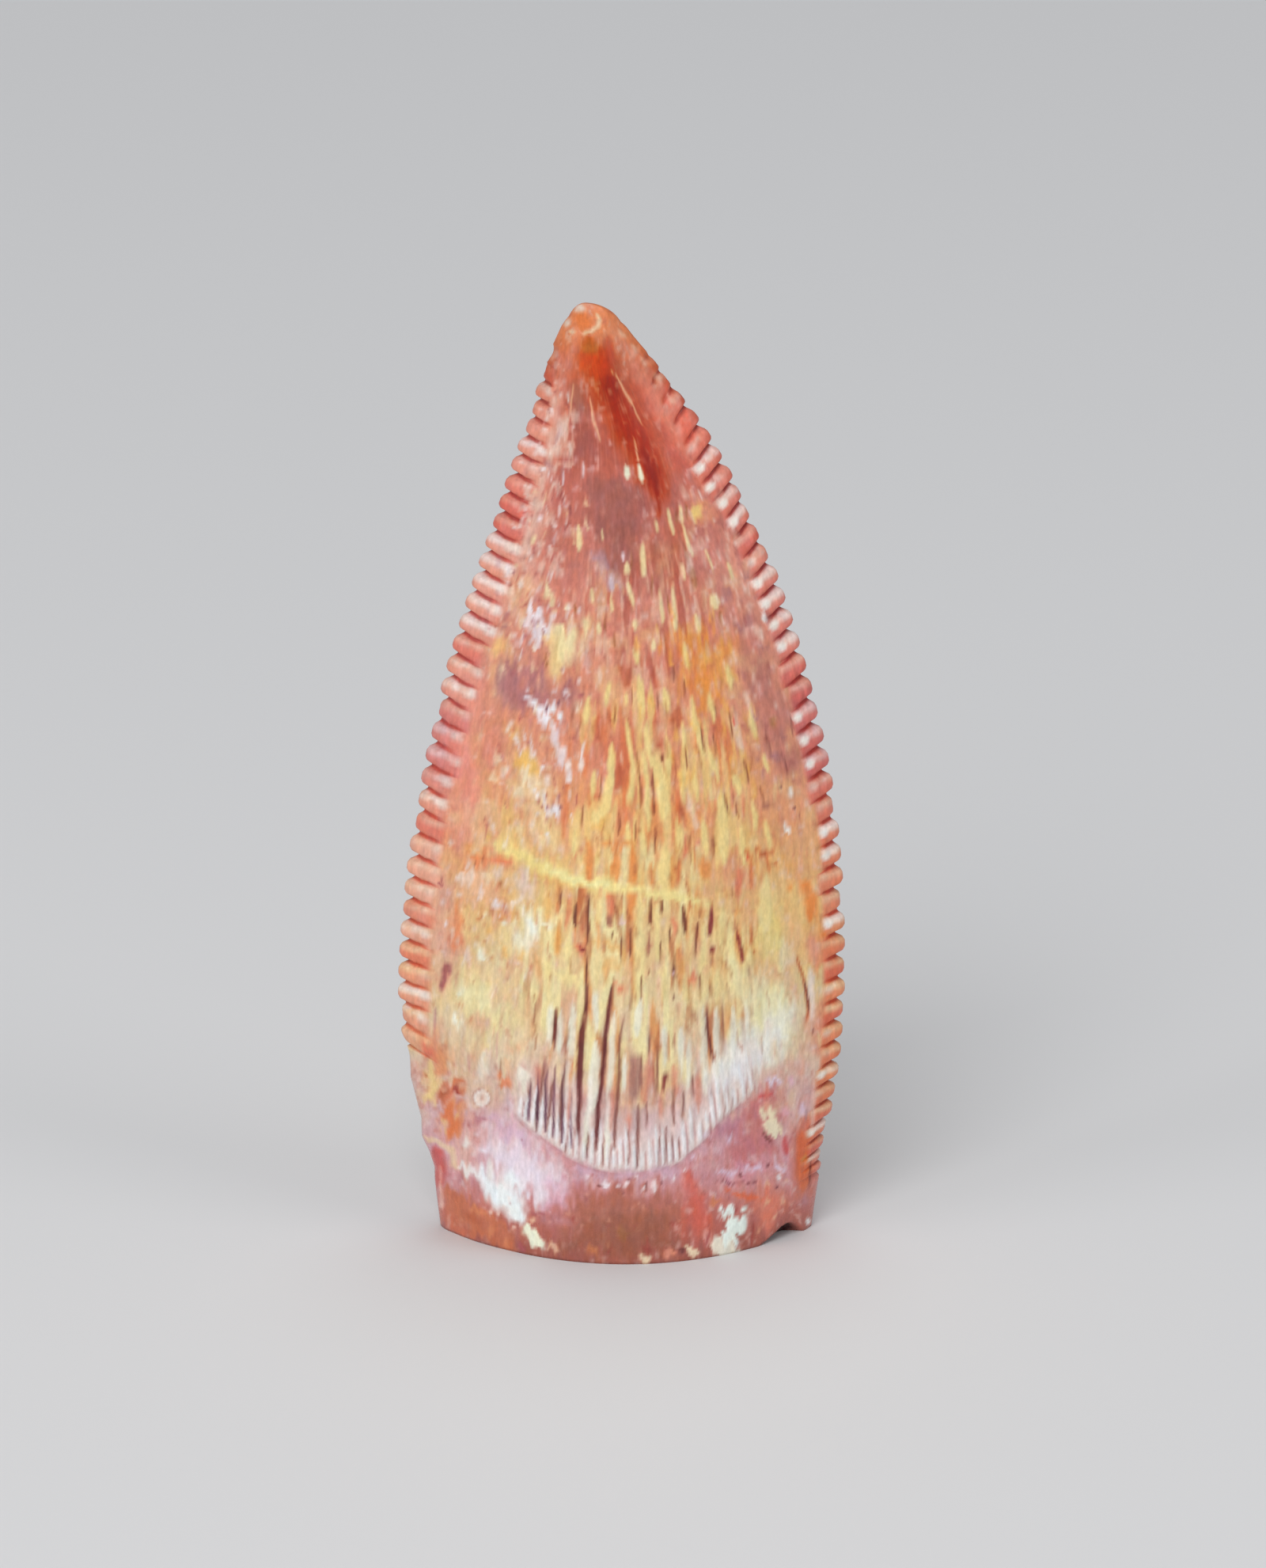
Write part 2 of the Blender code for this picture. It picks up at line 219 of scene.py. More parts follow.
def edge_height(levels, first_slit_row, at):
    """Height of an edge at a row; fine rows crowd towards the slits."""
    low = np.clip(np.floor(at + 1e-4), 0, main_rows - 1).astype(int)
    share = np.clip(at - low, 0.0, 1.0)
    cut = (low >= first_slit_row) & (low < top_slit_row)
    crowded = share - ROW_CROWDING * np.sin(2 * math.pi * share) / (2 * math.pi)
    crowded = np.where(cut, crowded, share)
    return levels[low] + (levels[low + 1] - levels[low]) * crowded, low, crowded, cut


rear_first = BASE_ROWS + slit_rows - len(rear_slits)
rear_h, low_row, rear_share, rear_cut = edge_height(rear_levels, rear_first, row)
front_h, _, front_share, front_cut = edge_height(front_levels, BASE_ROWS, row)


def bar_sag(line, height, bar):
    """How far the inner end of a bar lies below its outer end, as bars are square to the edge."""
    high = np.minimum(height + LEAN_SPAN, TIP_ROUND_FROM)
    low = high - 2 * LEAN_SPAN
    lean = np.abs(along(line, high) - along(line, low)) / (2 * LEAN_SPAN)
    return lean * bar * smoothstep(0.0, 1.5, height) * fade(TIP_ROUND_FROM, CROWN_HEIGHT, height)


rear_x = edge_x(REAR_LINE, rear_h)
front_x = edge_x(FRONT_LINE, front_h)
half_width = np.maximum(0.5 * (front_x - rear_x), 1e-6)
rear_bar = np.minimum(REAR_BAR, LONGEST_BAR * half_width)
front_bar = np.minimum(FRONT_BAR, LONGEST_BAR * half_width)
side = np.where(near_rear, -1.0, 1.0)
face = np.where(on_fluted, -1.0, 1.0)
own_h = np.where(near_rear, rear_h, front_h)
own_x = np.where(near_rear, rear_x, front_x)
bar = np.where(near_rear, rear_bar, front_bar)
share = np.where(near_rear, rear_share, front_share)
cut = np.where(near_rear, rear_cut, front_cut)
which = np.where(near_rear, 0, 1)

# Columns of the fluted face fan out towards the base, as its flutes do
face_columns = np.where(on_fluted, FLUTED_COLUMNS, PLAIN_COLUMNS)
in_face = np.clip((inward - flange) / face_columns, 0.0, 1.0)
fan = 4.0 * FAN_OUT * in_face * (1.0 - in_face) * fade(1.0, 6.0, own_h)
depth = np.where(
    inward <= flange,
    bar * np.clip(inward / flange, 0.0, 1.0) ** FLANGE_CROWDING,
    bar + (half_width - bar) * in_face - np.where(on_fluted, fan, 0.0),
)
reach = 1.0 - depth / half_width
rear_sag = bar_sag(REAR_LINE, rear_h, rear_bar)
front_sag = bar_sag(FRONT_LINE, front_h, front_bar)
own_sag = np.where(near_rear, rear_sag, front_sag)
middle_h = 0.5 * (rear_h + front_h)
z = middle_h + (own_h - middle_h) * reach
z -= own_sag * np.minimum(depth / bar, 1.0)
z -= (0.5 * (rear_sag + front_sag) - own_sag) * smoothstep(0.0, 1.0, in_face)

# Slits between the denticles, wide at the edge and narrow at their inner ends
SLIT_FROM = 0.38
SLIT_NARROWS = 0.32
SLIT_FULL = 0.98
SLIT_DEPTH = 0.15
BAR_ROUNDING = 0.17
BAR_SHORTENING = 0.09
EDGE_REACH = 0.30
WORN_NEAR_END = 0.8
REAR_LEDGE = [
    (0.0, 0.0), (0.4, 0.03), (0.9, 0.07), (1.15, 0.11), (1.45, 0.07), (1.75, -0.02), (2.1, 0.02),
    (2.5, -0.03), (2.9, -0.08), (3.3, -0.03), (3.6, 0.0), (4.0, 0.0),
]
from_crest = np.abs(2.0 * share - 1.0)
slit_index = np.where(share < 0.5, low_row, low_row + 1)
in_bar = np.clip(depth / bar, 0.0, 1.0)
slit = smoothstep(SLIT_FROM + SLIT_NARROWS * in_bar, SLIT_FULL, from_crest)
slit = np.where(cut, slit * slit_cut[which, slit_index], 0.0)
last_slit = np.where(near_rear, rear_slits[-1], front_slits[-1])
near_tip = np.where(near_rear, smoothstep(15.6, 17.0, own_h), smoothstep(14.8, 16.4, own_h))
below_top = np.where(near_rear, fade(16.2, 16.9, own_h), fade(16.3, 17.1, own_h))
worn = np.maximum(near_tip, fade(last_slit, last_slit + WORN_NEAR_END, own_h))
slit *= (1.0 - 0.58 * worn) * below_top
own_reach = bar * bar_reach[which, slit_index] * (1.0 - 0.50 * near_tip)
own_reach *= 1.0 - 0.22 * near_rear * between((7.0, 8.2), (11.0, 12.0), own_h)
groove = slit * fade(0.72 * own_reach, own_reach, depth)
short = np.where(cut, bar_worn[which, low_row] * (1.0 - from_crest ** 2), 0.0)
rounding = np.where(cut, 0.14 * from_crest ** 2 * (1.0 - 0.65 * worn) * below_top, 0.0)
ledge = np.where(near_rear, straight(REAR_LEDGE, own_h), 0.0)
pulled_in = SLIT_DEPTH * groove + BAR_ROUNDING * rounding + BAR_SHORTENING * short + ledge
x = own_x - side * (depth + pulled_in * (1.0 - np.clip(depth / EDGE_REACH, 0.0, 1.0)))

# Rows of the fluted face bend down to the arc where the flutes end
ARC_LOWEST = 1.78
ARC_ROW_LEVEL = 2.9


def arc_height(x):
    return ARC_LOWEST + np.where(x < 0.0, 0.22, 0.27) * x * x


rows_bend = between((0.2, ARC_ROW_LEVEL), (ARC_ROW_LEVEL, 6.5), z)
z = np.where(on_fluted, z - np.maximum(ARC_ROW_LEVEL - arc_height(x), 0.0) * rows_bend, z)

# Lens-shaped section with rounded flanges, and the leaning tip
FLANGE_SLOPE = 0.12
DEEPEST_GROOVE = 0.085
near_top = smoothstep(16.3, TIP_ROUND_FROM, z)
fullness = 1.20 - 0.25 * fade(0.0, 3.0, z) - 0.65 * near_top
outside = 1.0 - np.clip(depth / EDGE_RADIUS, 0.0, 1.0)
flange_half = EDGE_RADIUS * np.sqrt(1.0 - outside ** 2) + FLANGE_SLOPE * np.minimum(depth, bar)
thickness = along(HALF_THICKNESS, z) * tip_shrink(z)
lens = np.clip(1.0 - reach ** 2, 0.0, 1.0) ** fullness
half = (1.0 - near_top) * flange_half
half += (thickness - (1.0 - near_top) * (EDGE_RADIUS + FLANGE_SLOPE * bar)) * lens
half = np.maximum(half, 0.0)
half -= groove * np.minimum(0.5 * half, DEEPEST_GROOVE)
y = face * half + TIP_LEAN * (z / CROWN_HEIGHT) ** 2

# Oval that wear ground into the tip, a little dished
FACET_POINT = np.array((-0.80, 0.00, 17.42))
FACET_NORMAL = np.array((0.05, -0.72, 0.69))
FACET_DISHED = 0.35
facing = FACET_NORMAL / np.linalg.norm(FACET_NORMAL)
point = np.column_stack((x, y, z))
over = np.maximum((point - FACET_POINT) @ facing, 0.0)
point -= (over + FACET_DISHED * np.minimum(over, 0.08))[:, None] * facing
x, y, z = point.T

# Fossil colours. Each mark is a line of (x, height, half width) points in
# millimetres. On the fluted face its height is the one seen from a little above.
SEEN_LIFT = 0.325
SALMON = (226, 150, 126)
IVORY = (232, 222, 198)
WHITE = (242, 234, 226)
MAUVE = (184, 120, 112)
MAUVE_RED = (192, 118, 116)
BRICK = (176, 92, 74)
MAROON = (120, 42, 44)
# Dark wine red of the painted shade on the wall behind the chip in the rim
CHIP_SHADE_WINE = (70, 16, 18)

BODY_TINTS = [
    (-0.6, (156, 84, 72)), (0.3, (178, 100, 90)), (0.9, (200, 136, 134)), (1.6, (210, 158, 158)),
    (2.6, (212, 170, 160)), (3.6, (224, 190, 156)), (4.8, (226, 192, 144)), (6.4, (226, 178, 122)),
    (8.0, (220, 156, 114)), (10.0, (210, 142, 114)), (12.0, (198, 130, 110)),
    (13.5, (184, 112, 96)), (15.0, (176, 96, 78)), (16.3, (190, 90, 58)), (17.3, (222, 138, 100)),
]


def cloud(u, v, seed):
    """Smooth noise between -1 and 1 with one lump to a unit."""
    lattice = np.random.default_rng(seed).uniform(-1.0, 1.0, (256, 256))
    i, j = np.floor(u).astype(int), np.floor(v).astype(int)
    s, t = u - i, v - j
    s, t = s * s * (3 - 2 * s), t * t * (3 - 2 * t)
    left = lattice[i % 256, j % 256] * (1 - t) + lattice[i % 256, (j + 1) % 256] * t
    right = lattice[(i + 1) % 256, j % 256] * (1 - t) + lattice[(i + 1) % 256, (j + 1) % 256] * t
    return left * (1 - s) + right * s


def tint_at(stations, height):
    heights = [h for h, _ in stations]
    return np.column_stack([np.interp(height, heights, [tint[k] for _, tint in stations])
                            for k in range(3)])


seen = z + SEEN_LIFT * y * on_fluted
ragged_x = 0.6 * cloud(3.0 * x, 2.2 * seen, 21) + 0.6 * cloud(12.0 * x, 6.0 * seen, 22)
ragged_h = 1.0 * cloud(3.0 * x, 2.2 * seen, 23) + 2.0 * cloud(14.0 * x, 5.0 * seen, 24)
colour = tint_at(BODY_TINTS, seen)
relief = np.zeros_like(x)

# Marks get narrower by this share at their ends
TAPER = 0.55


def cover_of(points, soft, rough, plain_face=False):
    """Vertices near a mark, and how far each is covered by it."""
    points = np.array(points, float)
    margin = points[:, 2].max() + soft + 3.0 * rough
    near = on_fluted != plain_face
    for value, ends_at in ((x, points[:, 0]), (seen, points[:, 1])):
        near = near & (value > ends_at.min() - margin) & (value < ends_at.max() + margin)
    index = np.flatnonzero(near)
    at = np.column_stack((x + rough * ragged_x, seen + rough * ragged_h))[index]
    distance = np.full(len(index), 1e3)
    last = len(points) - 2
    for k, (start, end) in enumerate(zip(points[:-1], points[1:])):
        line = end[:2] - start[:2]
        t = np.clip((at - start[:2]) @ line / max(line @ line, 1e-9), 0.0, 1.0)
        from_line = np.linalg.norm(at - start[:2] - t[:, None] * line, axis=1)
        to_end = np.minimum(t if k == 0 else 1.0, 1.0 - t if k == last else 1.0)
        taper = TAPER if line @ line > 0.0 else 0.0
        tapered = 1.0 - taper * (1.0 - np.minimum(3.0 * to_end, 1.0)) ** 2
        distance = np.minimum(distance, from_line - tapered * (start[2] + t * (end[2] - start[2])))
    return index, fade(-soft, soft, distance)


def lay(tint, marks, soft, strength, rough, dip=0.0, plain_face=False):
    """Lays a colour, and a dip or with a minus sign a rise, along each mark of a list."""
    for points in marks:
        points = points if len(points) > 1 else points * 2
        index, cover = cover_of(points, soft, rough, plain_face)
        cover *= strength
        colour[index] += cover[:, None] * (np.array(tint) - colour[index])
        relief[index] += dip * cover


def lay_plain(tint, marks, soft, strength, rough, dip=0.0):
    """The same on the plain face."""
    lay(tint, marks, soft, strength, rough, dip, True)


# Broad tints from the tip down, then the pale and dark fields of the middle and the root end
lay((215, 138, 122), [
    [(-1.1, 16.9, 0.2), (-1.35, 15.8, 0.28), (-1.75, 14.4, 0.35), (-2.2, 13.0, 0.45)],
], 0.3, 0.8, 0.1)
lay((232, 172, 152), [[(-1.2, 16.4, 0.12), (-1.65, 15.0, 0.16), (-2.15, 13.6, 0.22)]], 0.2, 0.7, 0.1)
lay((188, 80, 22), [[(-0.66, 17.08, 0.22), (-0.4, 16.65, 0.34), (-0.22, 16.2, 0.22)]], 0.2, 0.95, 0.06)
lay((160, 92, 80), [[(-0.72, 15.9, 0.22), (-0.75, 14.8, 0.3)]], 0.22, 0.85, 0.1)
lay((192, 92, 70), [[(0.2, 16.5, 0.22), (0.9, 15.4, 0.35), (1.4, 14.5, 0.35)]], 0.25, 0.85, 0.08)
lay((226, 150, 126), [[(1.3, 15.0, 0.16), (1.75, 14.2, 0.22)]], 0.2, 0.7, 0.1)
lay((176, 70, 26), [
    [(-0.5, 16.9, 0.2), (-0.2, 16.1, 0.34), (0.15, 15.4, 0.36), (0.45, 14.8, 0.28), (0.6, 14.3, 0.22)],
], 0.2, 0.8, 0.05)
lay((160, 50, 18), [
    [(-0.34, 16.5, 0.12), (-0.1, 15.9, 0.22), (0.16, 15.4, 0.24), (0.42, 14.9, 0.2), (0.56, 14.4, 0.18),
     (0.64, 13.9, 0.1)],
], 0.14, 0.95, 0.05)
lay((164, 98, 86), [
    [(-0.6, 14.4, 0.26), (0.2, 14.2, 0.28)], [(-0.55, 13.9, 0.3), (0.35, 13.8, 0.3)],
    [(-0.4, 13.4, 0.28), (0.15, 13.3, 0.28)],
], 0.16, 0.92, 0.1)
lay((222, 160, 136), [[(-1.9, 13.2, 0.35), (-2.1, 12.4, 0.4), (-1.6, 12.5, 0.3)]], 0.3, 0.7, 0.15)
lay((182, 120, 106), [[(-0.5, 12.9, 0.4), (0.5, 12.6, 0.4)]], 0.3, 0.7, 0.15)
lay((174, 98, 74), [[(0.95, 13.1, 0.12), (1.05, 12.3, 0.16)]], 0.15, 0.7, 0.1)
lay((212, 146, 124), [[(1.9, 13.2, 0.3), (2.3, 12.2, 0.35)]], 0.3, 0.7, 0.1)
lay((222, 155, 108), [[(1.4, 13.8, 0.22)]], 0.2, 0.8, 0.12)
lay((218, 176, 162), [[(-1.7, 11.8, 0.22), (-1.3, 11.4, 0.2)]], 0.22, 0.8, 0.15)
lay((232, 198, 152), [[(-1.1, 11.5, 0.18), (-1.05, 11.2, 0.2), (-0.8, 11.4, 0.1)]], 0.18, 0.8, 0.15)
lay((226, 148, 78), [[(0.8, 11.5, 0.3), (1.7, 11.2, 0.36), (1.4, 10.4, 0.55)]], 0.25, 0.9, 0.18)
lay((226, 144, 128), [[(-2.75, 11.0, 0.22), (-3.0, 10.0, 0.25), (-3.3, 8.8, 0.25)]], 0.25, 0.8, 0.1)
lay(MAUVE, [[(-2.0, 10.9, 0.25), (-1.75, 10.3, 0.28), (-1.6, 10.0, 0.2)]], 0.2, 0.8, 0.18)
lay((184, 120, 104), [
    [(2.2, 11.7, 0.14), (2.5, 10.9, 0.24), (2.8, 9.8, 0.3), (3.12, 8.8, 0.26)],
], 0.2, 0.95, 0.1)
lay((222, 168, 122), [[(-2.0, 9.3, 0.3), (-1.9, 8.6, 0.35)]], 0.25, 0.7, 0.15)
lay((198, 126, 100), [[(-0.6, 9.6, 0.35), (0.1, 9.0, 0.4), (0.4, 9.9, 0.3)]], 0.3, 0.7, 0.15)
lay((220, 162, 98), [[(1.4, 9.3, 0.35), (2.3, 8.8, 0.4)]], 0.3, 0.75, 0.15)
lay((166, 108, 96), [[(2.95, 9.0, 0.14), (3.15, 8.5, 0.14)]], 0.15, 0.7, 0.08)
lay((226, 152, 128), [[(-2.9, 8.3, 0.35), (-3.05, 7.5, 0.3)]], 0.28, 0.75, 0.12)
lay((232, 188, 118), [[(-2.3, 8.0, 0.3), (-2.0, 7.5, 0.25)]], 0.22, 0.7, 0.2)
lay((222, 150, 96), [
    [(-1.2, 8.0, 0.35), (0.4, 8.1, 0.55), (1.6, 7.9, 0.45), (2.7, 7.7, 0.35)],
], 0.35, 0.6, 0.2)
lay((232, 196, 128), [
    [(-1.7, 6.9, 0.28), (-0.9, 6.7, 0.3), (0.6, 6.9, 0.3), (1.5, 6.7, 0.28)],
], 0.28, 0.7, 0.18)
lay((224, 160, 98), [[(2.4, 7.2, 0.3), (3.1, 6.9, 0.3)]], 0.28, 0.75, 0.12)
lay((222, 146, 90), [
    [(-2.7, 7.2, 0.22)], [(-2.2, 6.1, 0.16)], [(-0.8, 5.5, 0.3), (0.1, 5.4, 0.28)],
    [(3.5, 6.2, 0.16), (3.55, 5.2, 0.18)],
], 0.2, 0.7, 0.15)
lay((212, 152, 136), [[(-3.3, 6.9, 0.22), (-3.4, 5.8, 0.25), (-3.4, 4.6, 0.25)]], 0.22, 0.75, 0.08)
lay((232, 214, 172), [[(-1.9, 6.1, 0.22), (-1.5, 5.9, 0.25)]], 0.2, 0.8, 0.18)
lay((208, 142, 114), [[(1.0, 5.9, 0.2), (1.5, 5.6, 0.25)]], 0.22, 0.6, 0.15)
lay((234, 204, 128), [[(2.7, 6.2, 0.25), (2.8, 5.2, 0.32)]], 0.25, 0.8, 0.15)
lay((232, 208, 152), [[(-2.7, 5.0, 0.3), (-2.6, 4.0, 0.38), (-1.7, 4.6, 0.35)]], 0.3, 0.8, 0.2)
lay((232, 212, 166), [[(2.5, 4.6, 0.35), (2.8, 3.8, 0.35), (2.0, 3.6, 0.25)]], 0.28, 0.85, 0.15)
lay((216, 138, 108), [[(3.65, 4.4, 0.16), (3.6, 3.4, 0.14)]], 0.15, 0.7, 0.05)
lay((226, 148, 104), [[(-3.5, 3.6, 0.22), (-3.3, 3.0, 0.25)]], 0.2, 0.8, 0.12)
lay((234, 210, 166), [[(-2.4, 3.4, 0.3), (-1.8, 3.0, 0.2)]], 0.25, 0.7, 0.18)
lay((190, 130, 110), [[(-0.9, 3.3, 0.35), (0.4, 2.9, 0.4), (1.0, 3.4, 0.3)]], 0.3, 0.75, 0.15)
lay(IVORY, [[(1.5, 2.9, 0.25), (2.1, 3.4, 0.3), (2.8, 3.6, 0.28)]], 0.25, 0.8, 0.15)
lay(MAUVE_RED, [[(2.2, 2.2, 0.22), (2.7, 2.5, 0.25), (2.3, 1.6, 0.4), (2.7, 1.5, 0.3)]], 0.22, 0.85, 0.12)
lay((232, 184, 128), [[(-3.68, 2.9, 0.12), (-3.62, 2.4, 0.12)]], 0.12, 0.8, 0.08)
lay((226, 142, 84), [[(-3.25, 2.3, 0.2), (-3.1, 1.9, 0.18)]], 0.18, 0.8, 0.15)
lay((216, 178, 176), [[(-2.3, 2.3, 0.25), (-1.8, 1.9, 0.3)]], 0.22, 0.85, 0.15)
lay((188, 148, 138), [[(-0.8, 2.3, 0.35), (0.6, 2.2, 0.35)]], 0.25, 0.7, 0.12)
lay((228, 178, 160), [[(-2.9, 1.7, 0.22), (-3.0, 1.2, 0.22)]], 0.2, 0.8, 0.12)
# Painted highlight: a broad pale lilac sheen over the left of the root end
lay((238, 208, 210), [[(-2.5, 1.7, 0.25), (-1.9, 1.25, 0.42), (-1.2, 0.9, 0.3)]], 0.25, 0.95, 0.12)
lay((200, 152, 156), [[(-1.0, 1.1, 0.25), (0.2, 0.95, 0.22), (1.0, 1.15, 0.18)]], 0.22, 0.85, 0.1)
lay((190, 106, 84), [[(3.3, 2.2, 0.16), (3.35, 0.6, 0.25)]], 0.15, 0.8, 0.08)
lay((170, 96, 82), [[(-0.8, 0.45, 0.35), (0.5, 0.3, 0.4)]], 0.3, 0.85, 0.15)
lay((208, 136, 144), [[(1.9, 1.05, 0.2), (2.5, 1.1, 0.15)]], 0.2, 0.8, 0.1)
lay((196, 106, 80), [[(-3.2, 0.35, 0.3), (-2.9, -0.05, 0.25)]], 0.2, 0.85, 0.12)
lay((156, 82, 68), [[(-0.8, -0.25, 0.28), (0.6, -0.35, 0.3)]], 0.22, 0.8, 0.1)
lay((192, 94, 78), [[(1.3, 0.4, 0.25), (1.4, -0.2, 0.25)]], 0.22, 0.8, 0.1)
lay((208, 118, 96), [[(2.7, 0.7, 0.25), (2.75, 0.2, 0.22)]], 0.2, 0.8, 0.1)

# Fibres of the enamel: fine streaks that fan out from the tip towards the base
SPREAD = [(0.0, 5.3), (2.5, 4.75), (5.0, 4.3), (6.7, 4.05), (9.2, 3.75), (11.3, 3.2), (13.4, 2.55),
          (15.4, 1.7), (17.0, 0.95)]
FIBRE_MIDDLE = [(0.0, 0.0), (6.7, 0.0), (9.2, 0.1), (11.3, 0.05), (13.4, 0.02), (15.4, -0.17),
                (16.6, -0.45), (17.4, -0.6)]


def spread_at(height):
    return straight(SPREAD, height)


def fibre_middle_at(height):
    return straight(FIBRE_MIDDLE, height)


fibre = (x - fibre_middle_at(seen)) / spread_at(seen)


def field(points, soft=0.4, rough=0.15):
    """Share of every vertex in a broad field, from 0 to 1."""
    index, cover = cover_of(points, soft, rough)
    whole = np.zeros_like(x)
    whole[index] = cover
    return whole


def tint_where(tint, amount):
    """Mixes one tint, or one for every vertex, into the colour by a share for every vertex."""
    colour[:] += np.clip(amount, 0.0, 1.0)[:, None] * (np.array(tint) - colour)


def fibres(per_width, per_mm, seed, low, high):
    """Streaks that are this many to the half width and this many to a millimetre of height."""
    bend = 0.4 * cloud(6.0 * fibre + 20.0, 0.8 * seen, seed + 50)
    coarse = cloud(per_width * fibre + bend + 100.0, per_mm * seen, seed)
    fine = cloud(2.1 * per_width * fibre + 100.0, 2.3 * per_mm * seen, seed + 1)
    return smoothstep(low, high, 0.75 * coarse + 0.35 * fine)


upper = field([(0.1, 13.0, 1.0), (0.5, 11.0, 1.4)])
middle_field = field([(0.6, 10.2, 1.5), (0.6, 8.6, 1.7), (0.4, 7.2, 2.2)])
lower = field([(0.3, 6.4, 2.3), (0.3, 4.8, 2.2), (0.4, 3.4, 2.0)])
whole_face = field([(-0.5, 17.0, 0.6), (-0.1, 15.0, 1.3), (0.0, 12.0, 2.6), (0.0, 8.0, 3.4),
                    (0.0, 3.0, 3.6), (0.0, -0.5, 3.2)])

# Mottling of the whole face, broad lumps first
lumps = cloud(2.6 * x, 2.0 * seen, 61)
specks = cloud(8.0 * x, 6.0 * seen, 62)
grains = cloud(19.0 * x, 14.0 * seen, 63)
above_root = smoothstep(1.6, 2.6, seen)
below_tip = fade(12.8, 14.0, seen)
pale_lumps = smoothstep(0.1, 0.8, lumps + 0.4 * specks)
tint_where((240, 200, 140), 0.34 * above_root * below_tip * pale_lumps)
tint_where((206, 128, 112), 0.34 * above_root * smoothstep(0.1, 0.8, -lumps + 0.5 * specks))
tint_where((240, 212, 206), 0.30 * smoothstep(0.25, 0.8, 0.7 * specks + 0.5 * grains))
tint_where((170, 92, 78), 0.26 * smoothstep(0.25, 0.8, -0.7 * specks + 0.5 * grains))

upper_streaks = 0.25 + 0.75 * fade(12.8, 14.2, seen)
tint_where((172, 92, 76), 0.60 * upper * upper_streaks * fibres(26, 1.1, 71, 0.05, 0.45))
tint_where((232, 184, 158), 0.60 * upper * upper_streaks * fibres(30, 1.5, 73, 0.15, 0.50))
tint_where((198, 106, 66), 0.60 * middle_field * fibres(24, 1.0, 75, 0.05, 0.50))
tint_where((238, 196, 128), 0.80 * middle_field * fibres(26, 0.9, 77, 0.12, 0.45))
tint_where((214, 130, 72), 0.55 * lower * fibres(24, 0.8, 79, 0.05, 0.45))
tint_where((244, 220, 162), 0.85 * lower * fibres(26, 0.7, 81, 0.05, 0.38))
tint_where((158, 88, 62), 0.55 * lower * fibres(34, 1.1, 83, 0.30, 0.62))
tint_where((206, 138, 120), 0.22 * whole_face * fibres(40, 1.2, 85, 0.20, 0.60))

# Smooth skin over the fibres: beige and mauve near the tip, soft blotches down the left side
lay((216, 162, 140), [
    [(-1.25, 16.0, 0.18), (-1.6, 15.0, 0.28), (-1.95, 14.0, 0.36), (-2.05, 13.2, 0.34)],
], 0.22, 0.75, 0.1)
lay((160, 98, 86), [
    [(-0.6, 14.3, 0.26), (0.1, 14.1, 0.3)], [(-0.55, 13.7, 0.32), (0.25, 13.5, 0.34)],
    [(-0.35, 13.0, 0.26), (0.25, 12.9, 0.26)],
], 0.16, 0.78, 0.06)
lay((176, 98, 74), [[(0.85, 13.7, 0.16), (1.05, 13.0, 0.2)]], 0.18, 0.6, 0.08)
lay((170, 112, 98), [[(-0.88, 16.3, 0.12), (-0.86, 15.7, 0.16)]], 0.12, 0.7, 0.05)
lay((222, 140, 116), [
    [(0.05, 16.9, 0.12), (0.55, 16.2, 0.2), (1.05, 15.5, 0.22), (1.5, 14.7, 0.22)],
], 0.16, 0.7, 0.08)
lay((240, 160, 136), [[(-2.75, 10.7, 0.16), (-3.0, 9.7, 0.18), (-3.15, 8.6, 0.2)]], 0.16, 0.75, 0.06)
lay((176, 124, 118), [[(-2.3, 10.85, 0.12), (-2.15, 10.4, 0.2), (-2.0, 10.05, 0.16)]], 0.12, 0.75, 0.06)
lay((190, 130, 110), [[(-0.95, 10.6, 0.08), (-0.85, 10.1, 0.12)]], 0.12, 0.6, 0.08)
lay((246, 210, 142), [[(-1.45, 11.5, 0.14), (-1.2, 11.2, 0.17), (-1.32, 10.8, 0.1)]], 0.14, 0.8, 0.06)
lay((240, 186, 112), [[(-2.3, 11.3, 0.12)], [(-2.05, 9.6, 0.12)]], 0.13, 0.7, 0.06)
lay((248, 208, 130), [[(-1.88, 9.2, 0.17), (-1.65, 8.85, 0.14)]], 0.14, 0.75, 0.06)
lay((238, 182, 142), [
    [(-2.6, 8.3, 0.24), (-2.5, 7.8, 0.22)], [(-2.9, 6.8, 0.22), (-2.5, 6.5, 0.24)],
], 0.2, 0.7, 0.08)
lay((248, 222, 160), [
    [(-1.5, 8.0, 0.16), (-1.35, 7.4, 0.2)], [(-2.2, 5.7, 0.22), (-1.8, 5.3, 0.2)],
], 0.18, 0.6, 0.1)
lay((226, 196, 192), [
    [(-1.75, 10.25, 0.12), (-1.35, 10.0, 0.14)], [(-1.9, 6.9, 0.14), (-1.7, 6.5, 0.16)],
    [(-1.7, 11.75, 0.16)],
], 0.12, 0.65, 0.08)
lay((228, 188, 166), [[(-1.35, 15.4, 0.14), (-1.75, 14.2, 0.26), (-1.95, 13.0, 0.4)]], 0.24, 0.5, 0.12)
lay((176, 100, 78), [[(0.3, 13.3, 0.3), (0.8, 12.5, 0.35)]], 0.3, 0.38, 0.1)
lay((188, 110, 82), [[(-0.6, 9.7, 0.28), (0.2, 9.3, 0.34)]], 0.3, 0.38, 0.1)
lay((246, 216, 172), [[(-1.95, 8.9, 0.22), (-1.5, 8.2, 0.28)], [(-1.7, 7.9, 0.2)]], 0.22, 0.5, 0.15)
lay((252, 208, 134), [[(3.05, 6.7, 0.14), (3.35, 5.7, 0.16), (3.32, 4.9, 0.14)]], 0.16, 0.5, 0.06)
lay((252, 214, 136), [
    [(1.5, 5.9, 0.4), (2.2, 5.2, 0.5), (2.9, 6.2, 0.3)], [(1.4, 4.6, 0.3), (2.4, 4.5, 0.4)],
], 0.45, 0.35, 0.12)


